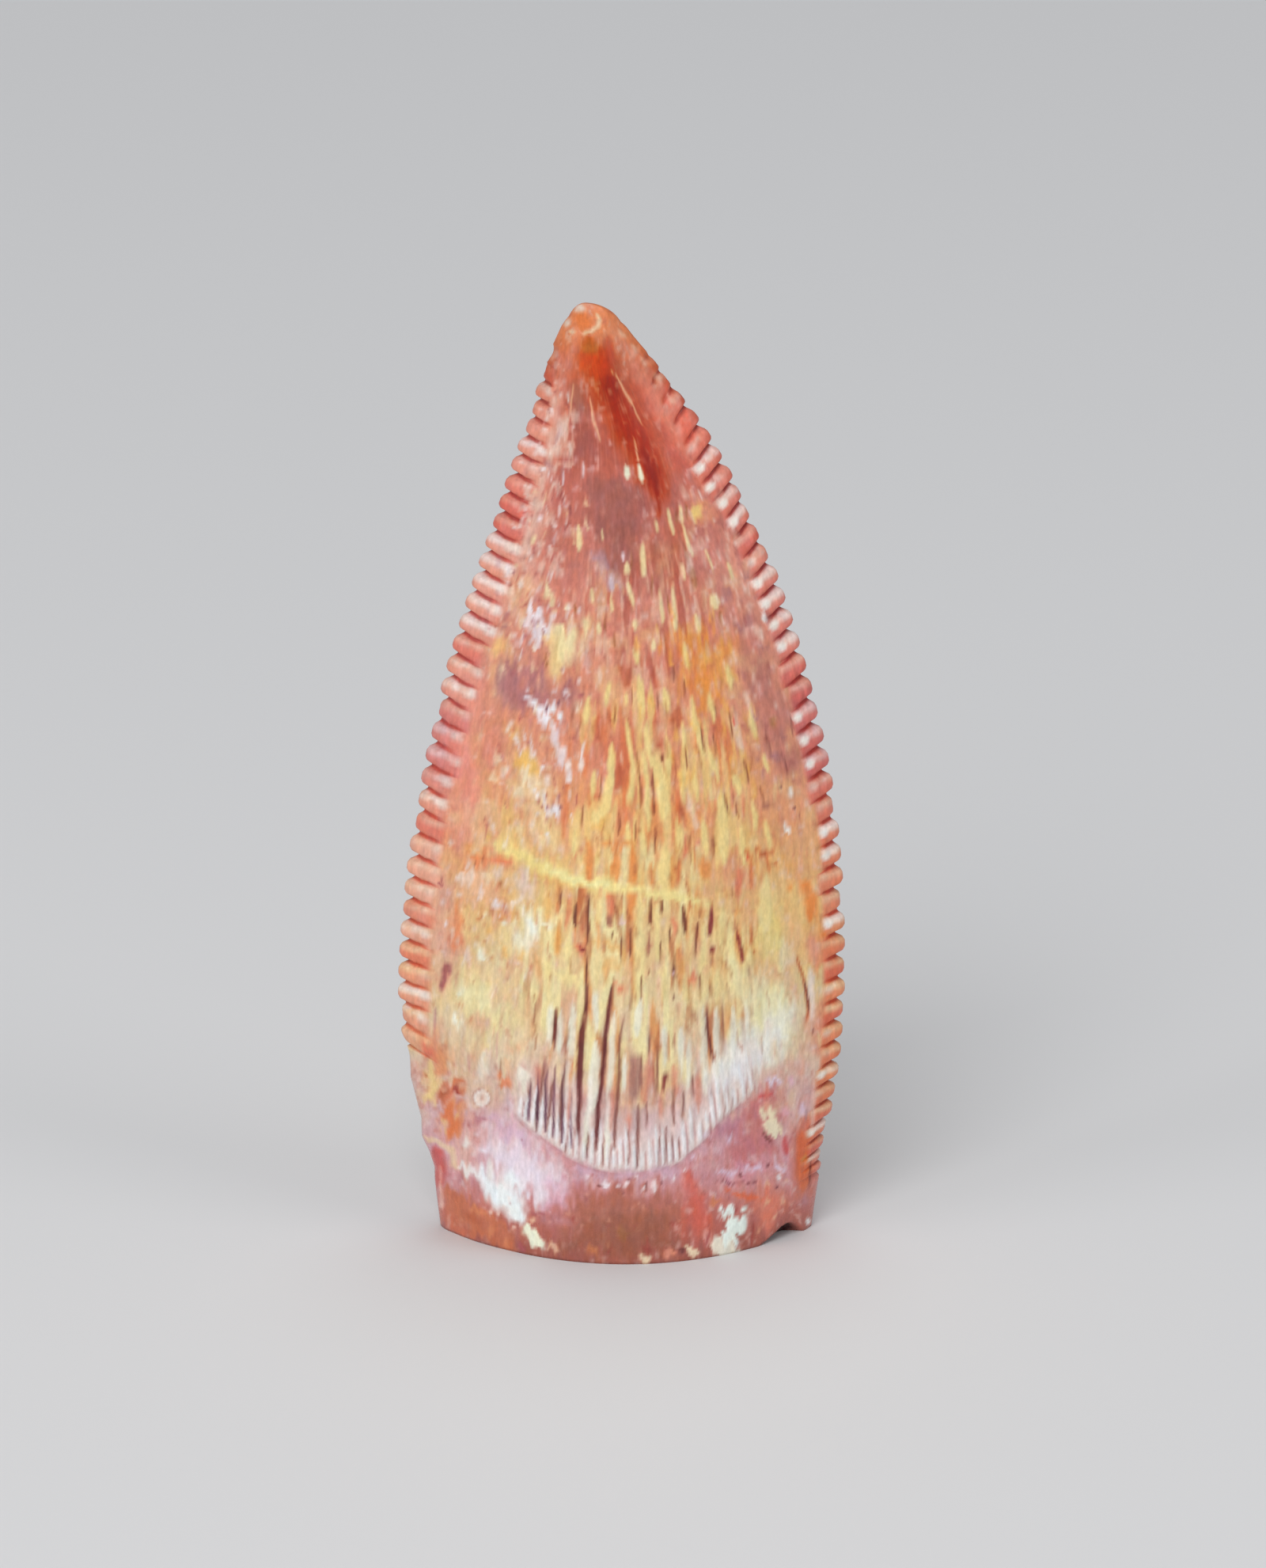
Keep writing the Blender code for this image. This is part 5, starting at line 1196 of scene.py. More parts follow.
# Left edge below the denticles: an uneven yellow and orange ledge
lay((212, 118, 96), [[(-3.72, 3.5, 0.08), (-3.55, 3.3, 0.12)]], 0.08, 0.75, 0.05)
lay((244, 204, 138), [
    [(-3.62, 3.05, 0.12), (-3.5, 2.7, 0.14), (-3.68, 2.45, 0.08)],
], 0.1, 0.85, 0.08, -0.02)
lay((196, 108, 72), [
    [(-3.4, 2.5, 0.1), (-3.15, 2.64, 0.12), (-2.95, 2.72, 0.08)], [(-3.3, 2.3, 0.12), (-3.2, 1.9, 0.12)],
], 0.1, 0.8, 0.08, 0.01)
lay((160, 78, 44), [
    [(-3.7, 2.92, 0.03)], [(-3.47, 2.4, 0.02), (-3.38, 2.58, 0.03), (-3.24, 2.66, 0.02)],
], 0.035, 0.6, 0.04, 0.02)
lay((140, 48, 40), [[(-3.14, 2.62, 0.05), (-3.06, 2.6, 0.04)]], 0.04, 0.7, 0.04, 0.015)
lay((212, 126, 84), [[(-3.28, 2.3, 0.1), (-3.22, 1.95, 0.12), (-3.3, 1.72, 0.08)]], 0.12, 0.7, 0.09)
lay((238, 186, 120), [[(-3.4, 2.1, 0.05), (-3.35, 1.9, 0.05)], [(-3.1, 2.2, 0.04)]], 0.04, 0.6, 0.05)
lay((174, 112, 116), [
    [(-3.07, 2.36, 0.06)], [(-2.78, 2.18, 0.1), (-2.6, 2.1, 0.08)], [(-2.98, 1.95, 0.05)],
], 0.07, 0.65, 0.06)
lay((240, 206, 184), [[(-2.66, 3.2, 0.1), (-2.65, 2.85, 0.12)]], 0.06, 0.5, 0.06)
lay((250, 234, 186), [
    [(2.0, 5.2, 0.2), (2.4, 4.6, 0.3), (2.9, 4.0, 0.25)], [(-2.9, 4.6, 0.16), (-2.4, 4.3, 0.22)],
    [(-2.6, 5.4, 0.12), (-2.3, 5.0, 0.12)],
], 0.22, 0.55, 0.15)
# Painted sheen: a near-white flare above the right end of the comb
lay((246, 236, 236), [[(1.55, 2.7, 0.14), (2.2, 3.2, 0.2), (2.9, 3.7, 0.16)]], 0.18, 0.6, 0.08)
lay((252, 242, 234), [
    [(1.6, 3.0, 0.12), (2.2, 3.6, 0.24), (2.8, 3.95, 0.28), (3.15, 4.2, 0.16)],
], 0.2, 0.5, 0.06)
lay((252, 232, 176), [[(1.2, 4.5, 0.14), (1.6, 4.4, 0.22), (2.1, 4.7, 0.22)]], 0.24, 0.45, 0.08)

# Small round healed scar
SCAR_AT = (-2.64, 2.52)


def scar_ring(radius, half_width):
    """Closed ring of short lines round the middle of the scar."""
    turns = [math.radians(30 * k) for k in range(13)]
    return [(SCAR_AT[0] + radius * math.cos(a), SCAR_AT[1] + radius * math.sin(a), half_width)
            for a in turns]


lay((242, 212, 196), [[(-2.64, 2.52, 0.13)]], 0.03, 0.85, 0.01)
lay((246, 226, 214), [scar_ring(0.1326, 0.022)], 0.025, 0.8, 0.01, -0.02)
lay((160, 106, 92), [scar_ring(0.17, 0.012)], 0.02, 0.5, 0.01, 0.02)
lay((176, 116, 98), [[(-2.63, 2.52, 0.03)]], 0.03, 0.8, 0.01, 0.02)

# Root end, left: lilac and cream, painted highlights in lilac and white, pale rim line, reddish oval
lay((214, 168, 182), [
    [(-2.45, 2.2, 0.12), (-2.2, 1.95, 0.18), (-2.3, 1.7, 0.12)], [(-2.0, 1.8, 0.12), (-1.8, 1.6, 0.14)],
], 0.1, 0.65, 0.08)
# Painted highlight: white spots of a streak of reflected light across the left of the root end
lay((246, 232, 222), [
    [(-2.93, 1.66, 0.07), (-2.92, 1.54, 0.06)], [(-2.62, 1.45, 0.06)],
    [(-3.07, 1.24, 0.05), (-2.88, 1.1, 0.08), (-2.7, 0.98, 0.06)],
    [(-2.55, 1.2, 0.06), (-2.45, 1.05, 0.06)], [(-2.3, 1.45, 0.04)], [(-2.8, 1.35, 0.04)],
], 0.05, 0.8, 0.05, -0.012)
lay((236, 196, 160), [
    [(-3.71, 1.75, 0.05), (-3.45, 1.66, 0.06), (-3.2, 1.46, 0.06), (-3.14, 1.15, 0.05)],
], 0.04, 0.85, 0.03, -0.015)
lay((188, 84, 74), [[(-3.52, 1.5, 0.1), (-3.45, 1.15, 0.14), (-3.48, 0.8, 0.1)]], 0.07, 0.8, 0.04, 0.01)
lay((230, 156, 140), [[(-3.42, 1.15, 0.03), (-3.42, 0.86, 0.03)]], 0.03, 0.7, 0.02)
# Painted shade below the end of the pale rim line
lay((176, 116, 120), [[(-3.09, 1.08, 0.05), (-3.02, 0.85, 0.05)]], 0.05, 0.6, 0.04)
# Painted highlight along the left edge of the root end
lay((236, 176, 160), [[(-3.43, 0.84, 0.03), (-3.39, 0.3, 0.03)], [(-3.4, 0.35, 0.05)]], 0.03, 0.7, 0.02)
# Painted highlight: a broad lilac sheen with a white core down the lower left of the root end, and a
# fainter lilac patch beside it
lay((240, 214, 220), [
    [(-2.7, 1.5, 0.14), (-2.1, 1.25, 0.26), (-1.75, 0.95, 0.3), (-1.5, 0.65, 0.18)],
], 0.2, 0.9, 0.08)
lay((252, 244, 242), [
    [(-2.7, 1.1, 0.1), (-2.4, 0.75, 0.2), (-2.1, 0.45, 0.22), (-1.9, 0.15, 0.12)],
    [(-2.2, 1.0, 0.12), (-1.95, 0.75, 0.14)],
], 0.12, 0.95, 0.05, -0.01)
lay((222, 168, 186), [[(-1.35, 0.95, 0.16), (-1.2, 0.55, 0.16), (-1.6, 0.45, 0.1)]], 0.14, 0.6, 0.08)
lay((186, 122, 124), [
    [(-1.1, 0.85, 0.14), (-0.7, 0.65, 0.16)], [(-1.5, 0.2, 0.14), (-0.9, 0.1, 0.16)],
], 0.14, 0.7, 0.08)
lay((186, 104, 78), [
    [(-3.35, 0.75, 0.1), (-3.1, 0.4, 0.24), (-2.7, 0.1, 0.28), (-2.3, -0.2, 0.24), (-2.05, -0.4, 0.14)],
], 0.08, 0.9, 0.06, 0.01)
lay((164, 82, 60), [
    [(-3.0, 0.35, 0.06), (-2.7, 0.05, 0.08)], [(-2.45, -0.25, 0.06)], [(-3.2, 0.6, 0.05)],
], 0.08, 0.5, 0.08)
lay((206, 128, 92), [
    [(-2.9, 0.45, 0.05), (-2.6, 0.25, 0.06)], [(-2.5, -0.05, 0.05)], [(-2.2, -0.3, 0.05)],
], 0.06, 0.6, 0.08)
lay((244, 190, 170), [
    [(-2.47, 0.29, 0.04)], [(-2.33, 0.26, 0.035)], [(-2.05, -0.02, 0.04)],
], 0.025, 0.8, 0.02, -0.01)
lay((248, 234, 206), [
    [(-1.82, 0.0, 0.1), (-1.66, -0.22, 0.15), (-1.5, -0.4, 0.12)],
], 0.045, 0.95, 0.06, -0.02)
lay((236, 180, 148), [
    [(-1.36, -0.36, 0.07), (-1.2, -0.42, 0.06)], [(-1.69, 0.16, 0.06)],
], 0.04, 0.8, 0.04)
lay((158, 78, 84), [
    [(-1.93, -0.32, 0.06), (-1.85, -0.45, 0.05)], [(-1.72, 0.29, 0.018), (-1.48, 0.28, 0.018)],
], 0.04, 0.7, 0.03, 0.015)

# Root end, middle: brick red with a row of glints under the comb
lay((166, 96, 80), [[(-1.0, 0.45, 0.2), (0.1, 0.35, 0.26), (0.9, 0.35, 0.24)]], 0.22, 0.8, 0.1)
lay((150, 84, 66), [
    [(-0.9, 0.1, 0.16), (0.1, 0.0, 0.24), (0.8, 0.05, 0.2)],
    [(-1.1, -0.25, 0.16), (0.2, -0.35, 0.2), (1.0, -0.3, 0.16)],
], 0.18, 0.8, 0.1)
lay((152, 92, 62), [[(-0.15, -0.05, 0.08), (0.12, -0.12, 0.08)]], 0.08, 0.6, 0.06)
lay((196, 92, 76), [[(1.2, 1.0, 0.1), (1.35, 0.5, 0.16), (1.4, 0.0, 0.14)]], 0.12, 0.7, 0.08)
lay((246, 222, 222), [
    [(-0.42, 0.9, 0.05), (-0.26, 0.86, 0.05)], [(0.02, 0.82, 0.05), (0.07, 0.82, 0.05)],
    [(0.22, 0.98, 0.035)], [(0.53, 0.92, 0.03), (0.57, 0.66, 0.04)], [(0.92, 0.92, 0.035)],
    [(-0.7, 1.0, 0.035)], [(0.72, 0.98, 0.03)], [(-0.12, 0.78, 0.03)], [(1.12, 1.08, 0.03)],
    [(0.36, 0.72, 0.03)],
], 0.03, 0.85, 0.03, -0.015)
lay((210, 164, 176), [
    [(0.45, 1.08, 0.07), (1.05, 1.05, 0.08)], [(-0.2, 1.02, 0.05), (0.2, 1.0, 0.05)],
    [(-0.95, 1.22, 0.06), (-0.6, 1.08, 0.06)],
], 0.06, 0.65, 0.04)
lay((108, 50, 48), [
    [(-0.47, 0.82, 0.03)], [(0.41, 0.86, 0.025), (0.41, 0.72, 0.025)], [(1.08, -0.48, 0.05)],
    [(0.1, 0.9, 0.02)], [(0.68, 0.85, 0.02)], [(-0.02, 0.68, 0.02)],
], 0.025, 0.7, 0.02, 0.015)
lay((150, 52, 46), [
    [(0.41, -0.4, 0.08)], [(-0.3, -0.4, 0.05)], [(0.9, 0.1, 0.05)], [(-0.95, 0.2, 0.04)],
], 0.06, 0.5, 0.05)
lay((206, 120, 72), [[(-0.6, -0.45, 0.08)], [(1.6, 0.5, 0.05), (1.76, 0.48, 0.04)]], 0.06, 0.6, 0.04)

# Root end, right: painted lilac reflections, red and peach skin, cream chips
lay((186, 124, 132), [[(1.6, 1.9, 0.1), (1.95, 1.9, 0.14), (2.2, 2.1, 0.12)]], 0.1, 0.7, 0.06)
# Painted reflections: lilac-white highlights over the right of the root end
lay((232, 206, 222), [
    [(1.53, 1.78, 0.05)], [(1.96, 1.73, 0.07)], [(3.27, 2.35, 0.05), (3.27, 2.15, 0.05)],
    [(2.25, 1.15, 0.05), (2.5, 1.08, 0.06)], [(2.8, 1.3, 0.06), (2.95, 1.1, 0.06)],
    [(1.7, 1.1, 0.05), (2.05, 1.05, 0.05)], [(2.6, 2.85, 0.06), (2.9, 2.9, 0.05)], [(1.3, 1.35, 0.04)],
], 0.06, 0.75, 0.05)
lay((240, 176, 190), [[(2.98, 2.32, 0.08), (3.0, 2.2, 0.07)], [(3.1, 2.9, 0.06)]], 0.06, 0.7, 0.04)
lay((186, 62, 56), [
    [(2.5, 2.58, 0.05), (2.75, 2.54, 0.05)], [(2.95, 1.75, 0.06), (3.0, 1.5, 0.06)],
], 0.05, 0.65, 0.04)
lay((244, 220, 184), [
    [(2.7, 2.28, 0.06), (2.74, 2.12, 0.1)], [(2.53, 2.34, 0.04), (2.6, 2.12, 0.06)],
    [(2.62, 2.0, 0.13), (2.78, 1.95, 0.14), (2.8, 1.8, 0.1)],
], 0.03, 0.95, 0.04, -0.025)
# Painted shadow under the cream chip
lay((112, 50, 40), [[(2.55, 1.84, 0.03), (2.64, 1.72, 0.04), (2.76, 1.65, 0.03)]], 0.03, 0.7, 0.03, 0.015)
lay((148, 134, 144), [[(3.36, 2.28, 0.014), (3.36, 2.1, 0.014)]], 0.02, 0.6, 0.01)
lay((240, 188, 168), [[(3.5, 2.62, 0.05), (3.5, 1.9, 0.05)]], 0.04, 0.7, 0.03)
lay((204, 104, 62), [[(3.32, 1.8, 0.1), (3.33, 1.2, 0.11), (3.35, 0.7, 0.1)]], 0.06, 0.75, 0.04)
lay((218, 152, 72), [[(3.36, 1.3, 0.06)]], 0.05, 0.6, 0.03)
lay((92, 36, 32), [[(3.46, 1.24, 0.014), (3.44, 0.7, 0.014)]], 0.02, 0.7, 0.01, 0.015)
lay((104, 40, 44), [
    [(2.15, 1.0, 0.035)], [(2.66, 1.18, 0.03)], [(2.82, 0.78, 0.03)],
    [(1.7, 0.88, 0.014), (2.45, 0.86, 0.014)],
], 0.025, 0.7, 0.02, 0.015)
lay((250, 240, 240), [[(2.86, 0.96, 0.04)], [(3.42, 0.12, 0.05), (3.42, 0.0, 0.05)]], 0.03, 0.85, 0.02)
lay((216, 96, 58), [
    [(2.0, 0.62, 0.04), (2.3, 0.6, 0.06), (2.55, 0.6, 0.04)], [(1.9, 0.75, 0.05)],
], 0.05, 0.7, 0.03)
lay((212, 118, 98), [[(2.6, 0.7, 0.1), (2.75, 0.3, 0.16), (2.7, -0.2, 0.12)]], 0.12, 0.7, 0.08)
lay((240, 174, 140), [
    [(2.63, 0.78, 0.05)], [(2.63, 0.47, 0.05)], [(2.93, 0.42, 0.05)], [(2.82, 0.14, 0.05)],
    [(2.5, -0.1, 0.04)], [(3.0, 0.9, 0.03)],
], 0.04, 0.75, 0.04, -0.01)
lay((180, 120, 124), [[(3.37, 0.46, 0.06)]], 0.05, 0.6, 0.03)
lay((240, 234, 224), [
    [(1.78, 0.28, 0.05), (1.9, 0.32, 0.07), (1.98, 0.24, 0.06)], [(2.2, 0.34, 0.06), (2.3, 0.3, 0.06)],
    [(1.95, 0.1, 0.14), (2.15, 0.05, 0.16), (2.22, -0.1, 0.1)], [(1.85, -0.15, 0.16), (2.05, -0.25, 0.2)],
], 0.035, 0.97, 0.05, -0.03)
lay((238, 216, 198), [
    [(1.68, -0.3, 0.12), (1.75, -0.45, 0.13), (2.1, -0.45, 0.12)],
], 0.04, 0.95, 0.05, -0.02)
lay((150, 60, 56), [
    [(2.07, 0.38, 0.03), (2.07, 0.28, 0.02)], [(1.58, -0.05, 0.02), (1.5, -0.35, 0.02)],
    [(2.4, 0.1, 0.02), (2.36, -0.35, 0.02)],
], 0.02, 0.7, 0.02, 0.015)
lay((242, 206, 172), [
    [(1.18, -0.42, 0.08), (1.35, -0.5, 0.1)], [(0.38, -0.62, 0.1)],
], 0.035, 0.9, 0.04, -0.015)
lay((226, 142, 118), [[(0.75, -0.52, 0.06), (0.95, -0.55, 0.07)]], 0.04, 0.8, 0.04)

# Small glints and pits strewn over the rough skin along both edges and over the left half.
# Tint, number, heights, places across, seed, half width, length, strength and dip
for row_of_marks in [
    ((244, 222, 214), 46, (11.5, 16.2), (-0.82, -0.42), 201, 0.035, 0.09, 0.75, -0.014),
    ((150, 74, 68), 44, (11.5, 16.2), (-0.82, -0.40), 202, 0.026, 0.07, 0.65, 0.016),
    ((240, 204, 160), 26, (10.0, 14.5), (-0.75, -0.25), 203, 0.045, 0.10, 0.7, -0.010),
    ((244, 226, 222), 40, (8.0, 12.2), (-0.62, -0.25), 204, 0.035, 0.10, 0.75, -0.014),
    ((156, 84, 84), 40, (8.0, 12.2), (-0.66, -0.22), 205, 0.024, 0.08, 0.6, 0.016),
    ((242, 218, 206), 34, (4.5, 8.4), (-0.82, -0.35), 206, 0.040, 0.10, 0.7, -0.012),
    ((164, 92, 74), 36, (4.0, 8.4), (-0.84, -0.30), 207, 0.022, 0.08, 0.6, 0.014),
    ((234, 198, 178), 30, (12.2, 15.8), (-0.84, -0.42), 217, 0.085, 0.16, 0.60, 0.0),
    ((166, 116, 112), 22, (11.5, 15.5), (-0.86, -0.42), 218, 0.050, 0.12, 0.50, 0.010),
    ((230, 190, 170), 26, (10.5, 14.6), (0.42, 0.84), 219, 0.065, 0.16, 0.50, 0.0),
    ((158, 106, 106), 20, (8.8, 12.8), (0.58, 0.86), 220, 0.055, 0.14, 0.50, 0.010),
    ((248, 228, 192), 24, (4.6, 9.6), (-0.72, -0.34), 221, 0.075, 0.14, 0.50, -0.008),
    ((240, 210, 196), 26, (10.0, 14.4), (0.35, 0.80), 208, 0.030, 0.12, 0.6, -0.010),
    ((150, 80, 70), 34, (9.0, 15.2), (0.30, 0.84), 209, 0.022, 0.12, 0.6, 0.012),
    ((232, 170, 150), 30, (9.5, 13.2), (-0.40, 0.50), 210, 0.022, 0.24, 0.6, 0.0),
    ((246, 222, 160), 60, (3.6, 8.8), (-0.30, 0.80), 211, 0.022, 0.30, 0.6, -0.008),
    ((134, 70, 50), 60, (3.6, 10.4), (-0.30, 0.60), 212, 0.014, 0.26, 0.65, 0.014),
    ((238, 176, 92), 40, (8.5, 12.0), (0.05, 0.65), 213, 0.026, 0.22, 0.7, -0.008),
    ((244, 226, 226), 16, (0.6, 2.4), (-0.60, -0.30), 214, 0.045, 0.08, 0.4, -0.008),
    ((150, 76, 74), 30, (-0.2, 2.2), (-0.65, 0.65), 215, 0.020, 0.05, 0.6, 0.012),
    ((226, 160, 136), 22, (-0.3, 0.9), (-0.60, 0.62), 216, 0.030, 0.05, 0.4, -0.008),
]:
    strew(*row_of_marks)

# Polish of the smooth root end
ROOT_POLISH = 0.20
root_end = np.where(on_fluted, fade(-0.1, 0.1, seen - fringe_h), fade(1.8, 2.6, z))
polish = ROOT_POLISH * root_end

# All the tints a little further from their mean, as layers of thin colour dull each other. The
# lowest rows get painted light that the pale floor throws on them, and the very tip is a deeper orange.
MEAN_TINT = np.array((210.0, 160.0, 131.0))
CONTRAST = 0.14
FLOOR_LIGHT_ON_ROOT = np.array((7.0, 15.0, 12.0))
TIP_DEEPER = np.array((17.0, 10.0, 11.0))
colour += CONTRAST * (colour - MEAN_TINT)
colour += np.outer(on_fluted * fade(0.3, 1.5, seen), FLOOR_LIGHT_ON_ROOT)
colour -= np.outer(smoothstep(15.5, 16.5, seen), TIP_DEEPER)

# Fine unevenness of every tint, drawn out along the fibres
thread = cloud(64.0 * fibre + 150.0, 2.6 * seen, 64)
grit = cloud(24.0 * x + 60.0, 15.0 * seen, 65)
warmth = cloud(10.0 * x + 90.0, 6.0 * seen, 66)
calm = (1.0 - 0.65 * root_end) * (1.0 - 0.35 * smoothstep(13.0, 14.5, seen))
colour *= (1.0 + calm * (0.046 * thread + 0.040 * grit))[:, None]
colour += np.outer(warmth, (2.0, -1.0, -5.0)) + np.array((-3.0, 3.0, 4.0))

# The relief dies out along the edges and at the tip, where the wrapped grid closes
relief *= smoothstep(0.0, 0.06, depth) * fade(17.5, 17.65, z)
y -= face * relief

# A chip is broken out of the rim as a low arch; the rows above it crowd together
CHIP_ARCH = [
    (2.50, 0.0), (2.66, 0.09), (2.80, 0.18), (2.92, 0.26), (3.03, 0.29), (3.13, 0.26), (3.23, 0.16),
    (3.32, 0.0),
]
chip = straight(CHIP_ARCH, x) * on_fluted
z += chip * np.clip(1.0 - z / LOWEST_ROW, 0.0, 1.0)
middle = [0.5 * (min(v) + max(v)) for v in (x, y)]
co = np.column_stack((x - middle[0], y - middle[1], z))
mesh.vertices.foreach_set("co", (co * MM).astype(np.float32).ravel())
mesh.update()


def linear(seen_tint):
    """Linear value of a seen colour in bytes."""
    value = np.clip(np.asarray(seen_tint) / 255.0, 0.0, 1.0)
    return np.where(value <= 0.04045, value / 12.92, ((value + 0.055) / 1.055) ** 2.4)


# The gloss washes the darker tints out a little, so they are stored richer
RICHNESS = 0.16
BRIGHT_FROM = 212.0
BRIGHT_HELD_BACK = 0.4
tint_layer = mesh.color_attributes.new("fossil_tint", "FLOAT_COLOR", "POINT")
grey = colour.mean(axis=1)[:, None]
rich = grey + (1.0 + RICHNESS * fade(140.0, 200.0, grey)) * (colour - grey)
brightest = np.maximum(rich.max(axis=1)[:, None], 1.0)
rich *= 1.0 - BRIGHT_HELD_BACK * np.maximum(brightest - BRIGHT_FROM, 0.0) / brightest
with_alpha = np.column_stack((linear(rich), np.ones(len(x))))
tint_layer.data.foreach_set("color", with_alpha.astype(np.float32).ravel())
polish_layer = mesh.attributes.new("polish", "FLOAT", "POINT")
polish_layer.data.foreach_set("value", polish.astype(np.float32))

# The grid's edges meet behind the rear edge and at the tip, where they are joined
bpy.context.tool_settings.mesh_select_mode = (True, False, False)
bpy.ops.object.mode_set(mode="EDIT")
bpy.ops.mesh.select_all(action="SELECT")
bpy.ops.mesh.remove_doubles(threshold=1e-7)
bpy.ops.object.mode_set(mode="OBJECT")
outer_count = len(mesh.vertices)

# Underside: the broken rim, the wall of the shallow pulp hollow and its ceiling
RIM = (0.74, 0.62)
RIM_RINGS = 5
HOLLOW = (0.80, 0.72)
HOLLOW_DEPTH = 0.7
HOLLOW_RINGS = 4
CEILING = (0.30, 0.30)
CEILING_RINGS = 3


def ring_inward(scale, rise, rings):
    """Extrudes the open loop in even steps to a smaller, higher one."""
    for _ in range(rings):
        bpy.ops.mesh.extrude_region_move()
        bpy.ops.transform.resize(
            value=(scale[0] ** (1 / rings), scale[1] ** (1 / rings), 1.0), center_override=(0, 0, 0))
        bpy.ops.transform.translate(value=(0, 0, rise / rings * MM))


bpy.context.tool_settings.mesh_select_mode = (False, True, False)
bpy.ops.object.mode_set(mode="EDIT")
bpy.ops.mesh.select_all(action="DESELECT")
bpy.ops.mesh.select_non_manifold(extend=False)
ring_inward(RIM, 0.0, RIM_RINGS)
ring_inward(HOLLOW, HOLLOW_DEPTH, HOLLOW_RINGS)
ring_inward(CEILING, 0.0, CEILING_RINGS)
bpy.ops.mesh.merge(type="CENTER")
bpy.ops.mesh.select_all(action="SELECT")
bpy.ops.mesh.normals_make_consistent(inside=False)
bpy.ops.object.mode_set(mode="OBJECT")
bpy.ops.object.shade_smooth()
all_co = points_of_mesh()
below = all_co[outer_count:] / MM
ring_of = np.arange(len(below)) // columns
ring_height = HOLLOW_DEPTH * np.clip((ring_of + 1 - RIM_RINGS) / HOLLOW_RINGS, 0.0, 1.0)
# Painted shade: the wall behind the chip in the rim is laid dark wine red where it lies in shade
shade_behind_chip = smoothstep(0.0, 0.08, below[:, 2] - ring_height) * (ring_of < 2)
below[:, 2] = np.where(ring_of == 0, below[:, 2], ring_height)


def cloud_below(per_mm, shift, seed):
    return cloud(per_mm * below[:, 0] + shift, per_mm * below[:, 1] + shift, seed)


unevenness = 0.07 * cloud_below(2.2, 9.0, 97) + 0.03 * cloud_below(6.0, 9.0, 98)
below[:, 2] += smoothstep(0.0, 0.3, ring_height) * unevenness
towards_salmon = 0.5 + 0.5 * cloud_below(2.5, 40.0, 95)
broken_tint_and_chip_shade = np.array(BRICK) + np.outer(towards_salmon, np.array(SALMON) - np.array(BRICK))
broken_tint_and_chip_shade += 14.0 * cloud_below(9.0, 40.0, 96)[:, None]
# The wall behind the chip gets its painted shade
broken_tint_and_chip_shade += shade_behind_chip[:, None] * (np.array(CHIP_SHADE_WINE) - broken_tint_and_chip_shade)
all_co[outer_count:] = below * MM
mesh.vertices.foreach_set("co", all_co.ravel())
mesh.update()
tint_layer = mesh.color_attributes["fossil_tint"]
values = np.empty(len(mesh.vertices) * 4, np.float32)
tint_layer.data.foreach_get("color", values)
values = values.reshape(-1, 4)
values[outer_count:, :3] = linear(broken_tint_and_chip_shade)
tint_layer.data.foreach_set("color", values.ravel())

# Fossil enamel: the painted tint with a fine grain, satin with a glossier root end
enamel = bpy.data.materials.new("fossil_enamel")
enamel.use_nodes = True
nodes, links = enamel.node_tree.nodes, enamel.node_tree.links
surface = nodes["Principled BSDF"]
tint = nodes.new("ShaderNodeAttribute")
tint.attribute_name = "fossil_tint"
polished = nodes.new("ShaderNodeAttribute")
polished.attribute_name = "polish"
place = nodes.new("ShaderNodeTexCoord")
GRAINS_PER_METRE = 16000.0
FINE_FIBRES_PER_METRE = 11000.0
LUMPS_PER_METRE = 5200.0
BUMPS_PER_METRE = 9360.0
BUMP_HEIGHT = 0.02 * MM


def noise(scale, detail, stretch_up=1.0):
    squeeze = nodes.new("ShaderNodeMapping")
    squeeze.inputs["Scale"].default_value = (1.0, 1.0, 1.0 / stretch_up)
    texture = nodes.new("ShaderNodeTexNoise")
    texture.inputs["Scale"].default_value = scale
    texture.inputs["Detail"].default_value = detail
    links.new(place.outputs["Object"], squeeze.inputs["Vector"])
    links.new(squeeze.outputs["Vector"], texture.inputs["Vector"])
    return texture.outputs["Fac"]


def spread_out(value, to_low, to_high):
    """The middle part of a noise, spread between two values."""
    stretch = nodes.new("ShaderNodeMapRange")
    ends = (("From Min", 0.3), ("From Max", 0.7), ("To Min", to_low), ("To Max", to_high))
    for socket, end in ends:
        stretch.inputs[socket].default_value = end
    links.new(value, stretch.inputs["Value"])
    return stretch.outputs["Result"]


grain_value = nodes.new("ShaderNodeMath")
grain_value.operation = "MULTIPLY"
links.new(spread_out(noise(GRAINS_PER_METRE, 2.0, 2.0), 0.92, 1.07), grain_value.inputs[0])
fine_fibres = noise(FINE_FIBRES_PER_METRE, 3.0, 12.0)
links.new(spread_out(fine_fibres, 0.93, 1.06), grain_value.inputs[1])
grained = nodes.new("ShaderNodeVectorMath")
grained.operation = "SCALE"
links.new(tint.outputs["Color"], grained.inputs[0])
links.new(grain_value.outputs["Value"], grained.inputs["Scale"])
links.new(grained.outputs["Vector"], surface.inputs["Base Color"])
rough_value = nodes.new("ShaderNodeMath")
rough_value.operation = "SUBTRACT"
links.new(spread_out(noise(LUMPS_PER_METRE, 3.0), 0.38, 0.56), rough_value.inputs[0])
links.new(polished.outputs["Fac"], rough_value.inputs[1])
links.new(rough_value.outputs["Value"], surface.inputs["Roughness"])
bump = nodes.new("ShaderNodeBump")
bump.inputs["Strength"].default_value = 0.35
bump.inputs["Distance"].default_value = BUMP_HEIGHT
links.new(noise(BUMPS_PER_METRE, 4.0, 2.5), bump.inputs["Height"])
links.new(bump.outputs["Normal"], surface.inputs["Normal"])
surface.inputs["Specular IOR Level"].default_value = 0.32
surface.inputs["Coat Weight"].default_value = 0.12
surface.inputs["Coat Roughness"].default_value = 0.16
mesh.materials.append(enamel)
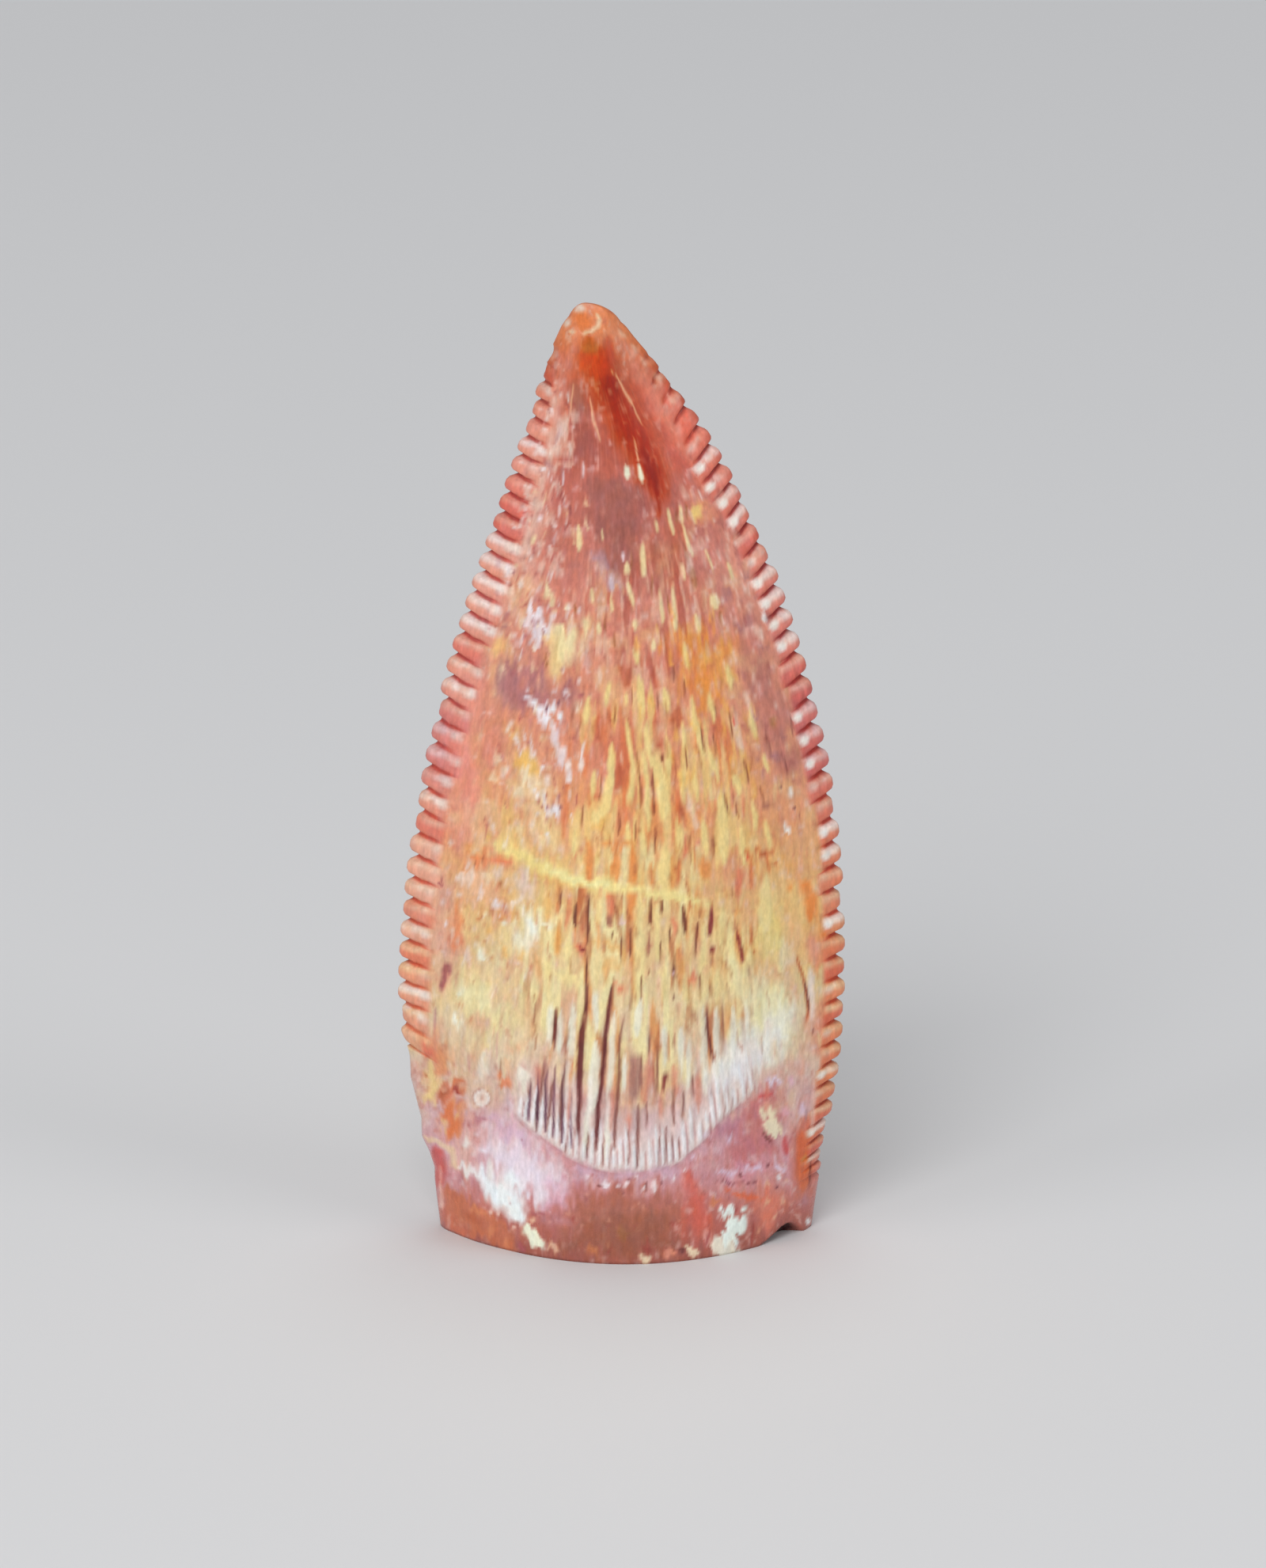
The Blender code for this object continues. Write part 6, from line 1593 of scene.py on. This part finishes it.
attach(crown, "root")
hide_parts("tooth")

# Floor
bpy.ops.object.select_all(action="DESELECT")
bpy.ops.mesh.primitive_plane_add(size=4.0, location=(0, 0, 0))
ground = bpy.context.object
ground.name = "floor"
pale = bpy.data.materials.new("pale_floor")
pale.use_nodes = True
pale_surface = pale.node_tree.nodes["Principled BSDF"]
pale_surface.inputs["Base Color"].default_value = (0.72, 0.72, 0.72, 1)
pale_surface.inputs["Roughness"].default_value = 0.7
ground.data.materials.append(pale)

# Soft studio light
world = bpy.data.worlds.new("studio")
world.use_nodes = True
sky = world.node_tree.nodes["Background"]
sky.inputs["Color"].default_value = (0.9, 0.93, 1.0, 1)
sky.inputs["Strength"].default_value = 0.25
bpy.context.scene.world = world


def area_light(name, place, aim, size, power):
    light = bpy.data.lights.new(name, "AREA")
    light.shape = "DISK"
    light.size = size
    light.energy = power
    lamp = bpy.data.objects.new(name, light)
    lamp.location = place
    lamp.rotation_euler = (Vector(place) - Vector(aim)).to_track_quat("Z", "Y").to_euler()
    bpy.context.scene.collection.objects.link(lamp)


crown_middle = (0.0, 0.0, 0.009)
area_light("key", (-0.08, -0.26, 0.24), crown_middle, 0.22, 0.68)
area_light("left_box", (-0.24, -0.14, 0.10), crown_middle, 0.16, 0.20)
area_light("right_box", (0.24, -0.14, 0.10), crown_middle, 0.16, 0.20)
area_light("top", (0.02, 0.10, 0.34), crown_middle, 0.20, 0.28)

# Camera: the base of the crown and its scale sit in the frame as in the photo
CAMERA_ELEVATION = math.radians(18.0)
CAMERA_DISTANCE = 0.300
PIXELS_PER_MM = 68.5
FRAME_HEIGHT_PX = 1981
FRAME_MIDDLE_PX = (800.0, 990.5)
BASE_PX = (789.0, 1552.0)
aim_up = (BASE_PX[1] - FRAME_MIDDLE_PX[1]) / PIXELS_PER_MM / math.cos(CAMERA_ELEVATION)
aim_side = (FRAME_MIDDLE_PX[0] - BASE_PX[0]) / PIXELS_PER_MM
camera_data = bpy.data.cameras.new("camera")
camera_data.lens = 36.0 * CAMERA_DISTANCE / (FRAME_HEIGHT_PX / PIXELS_PER_MM * MM)
camera_data.sensor_width = 36.0
camera_data.clip_start = 0.01
camera_data.clip_end = 20.0
camera = bpy.data.objects.new("camera", camera_data)
aim = Vector((aim_side - middle[0], -middle[1], aim_up)) * MM
back = Vector((0.0, -math.cos(CAMERA_ELEVATION), math.sin(CAMERA_ELEVATION)))
camera.location = aim + back * CAMERA_DISTANCE
camera.rotation_euler = back.to_track_quat("Z", "Y").to_euler()
bpy.context.scene.collection.objects.link(camera)
bpy.context.scene.camera = camera
bpy.context.scene.view_settings.view_transform = "Standard"
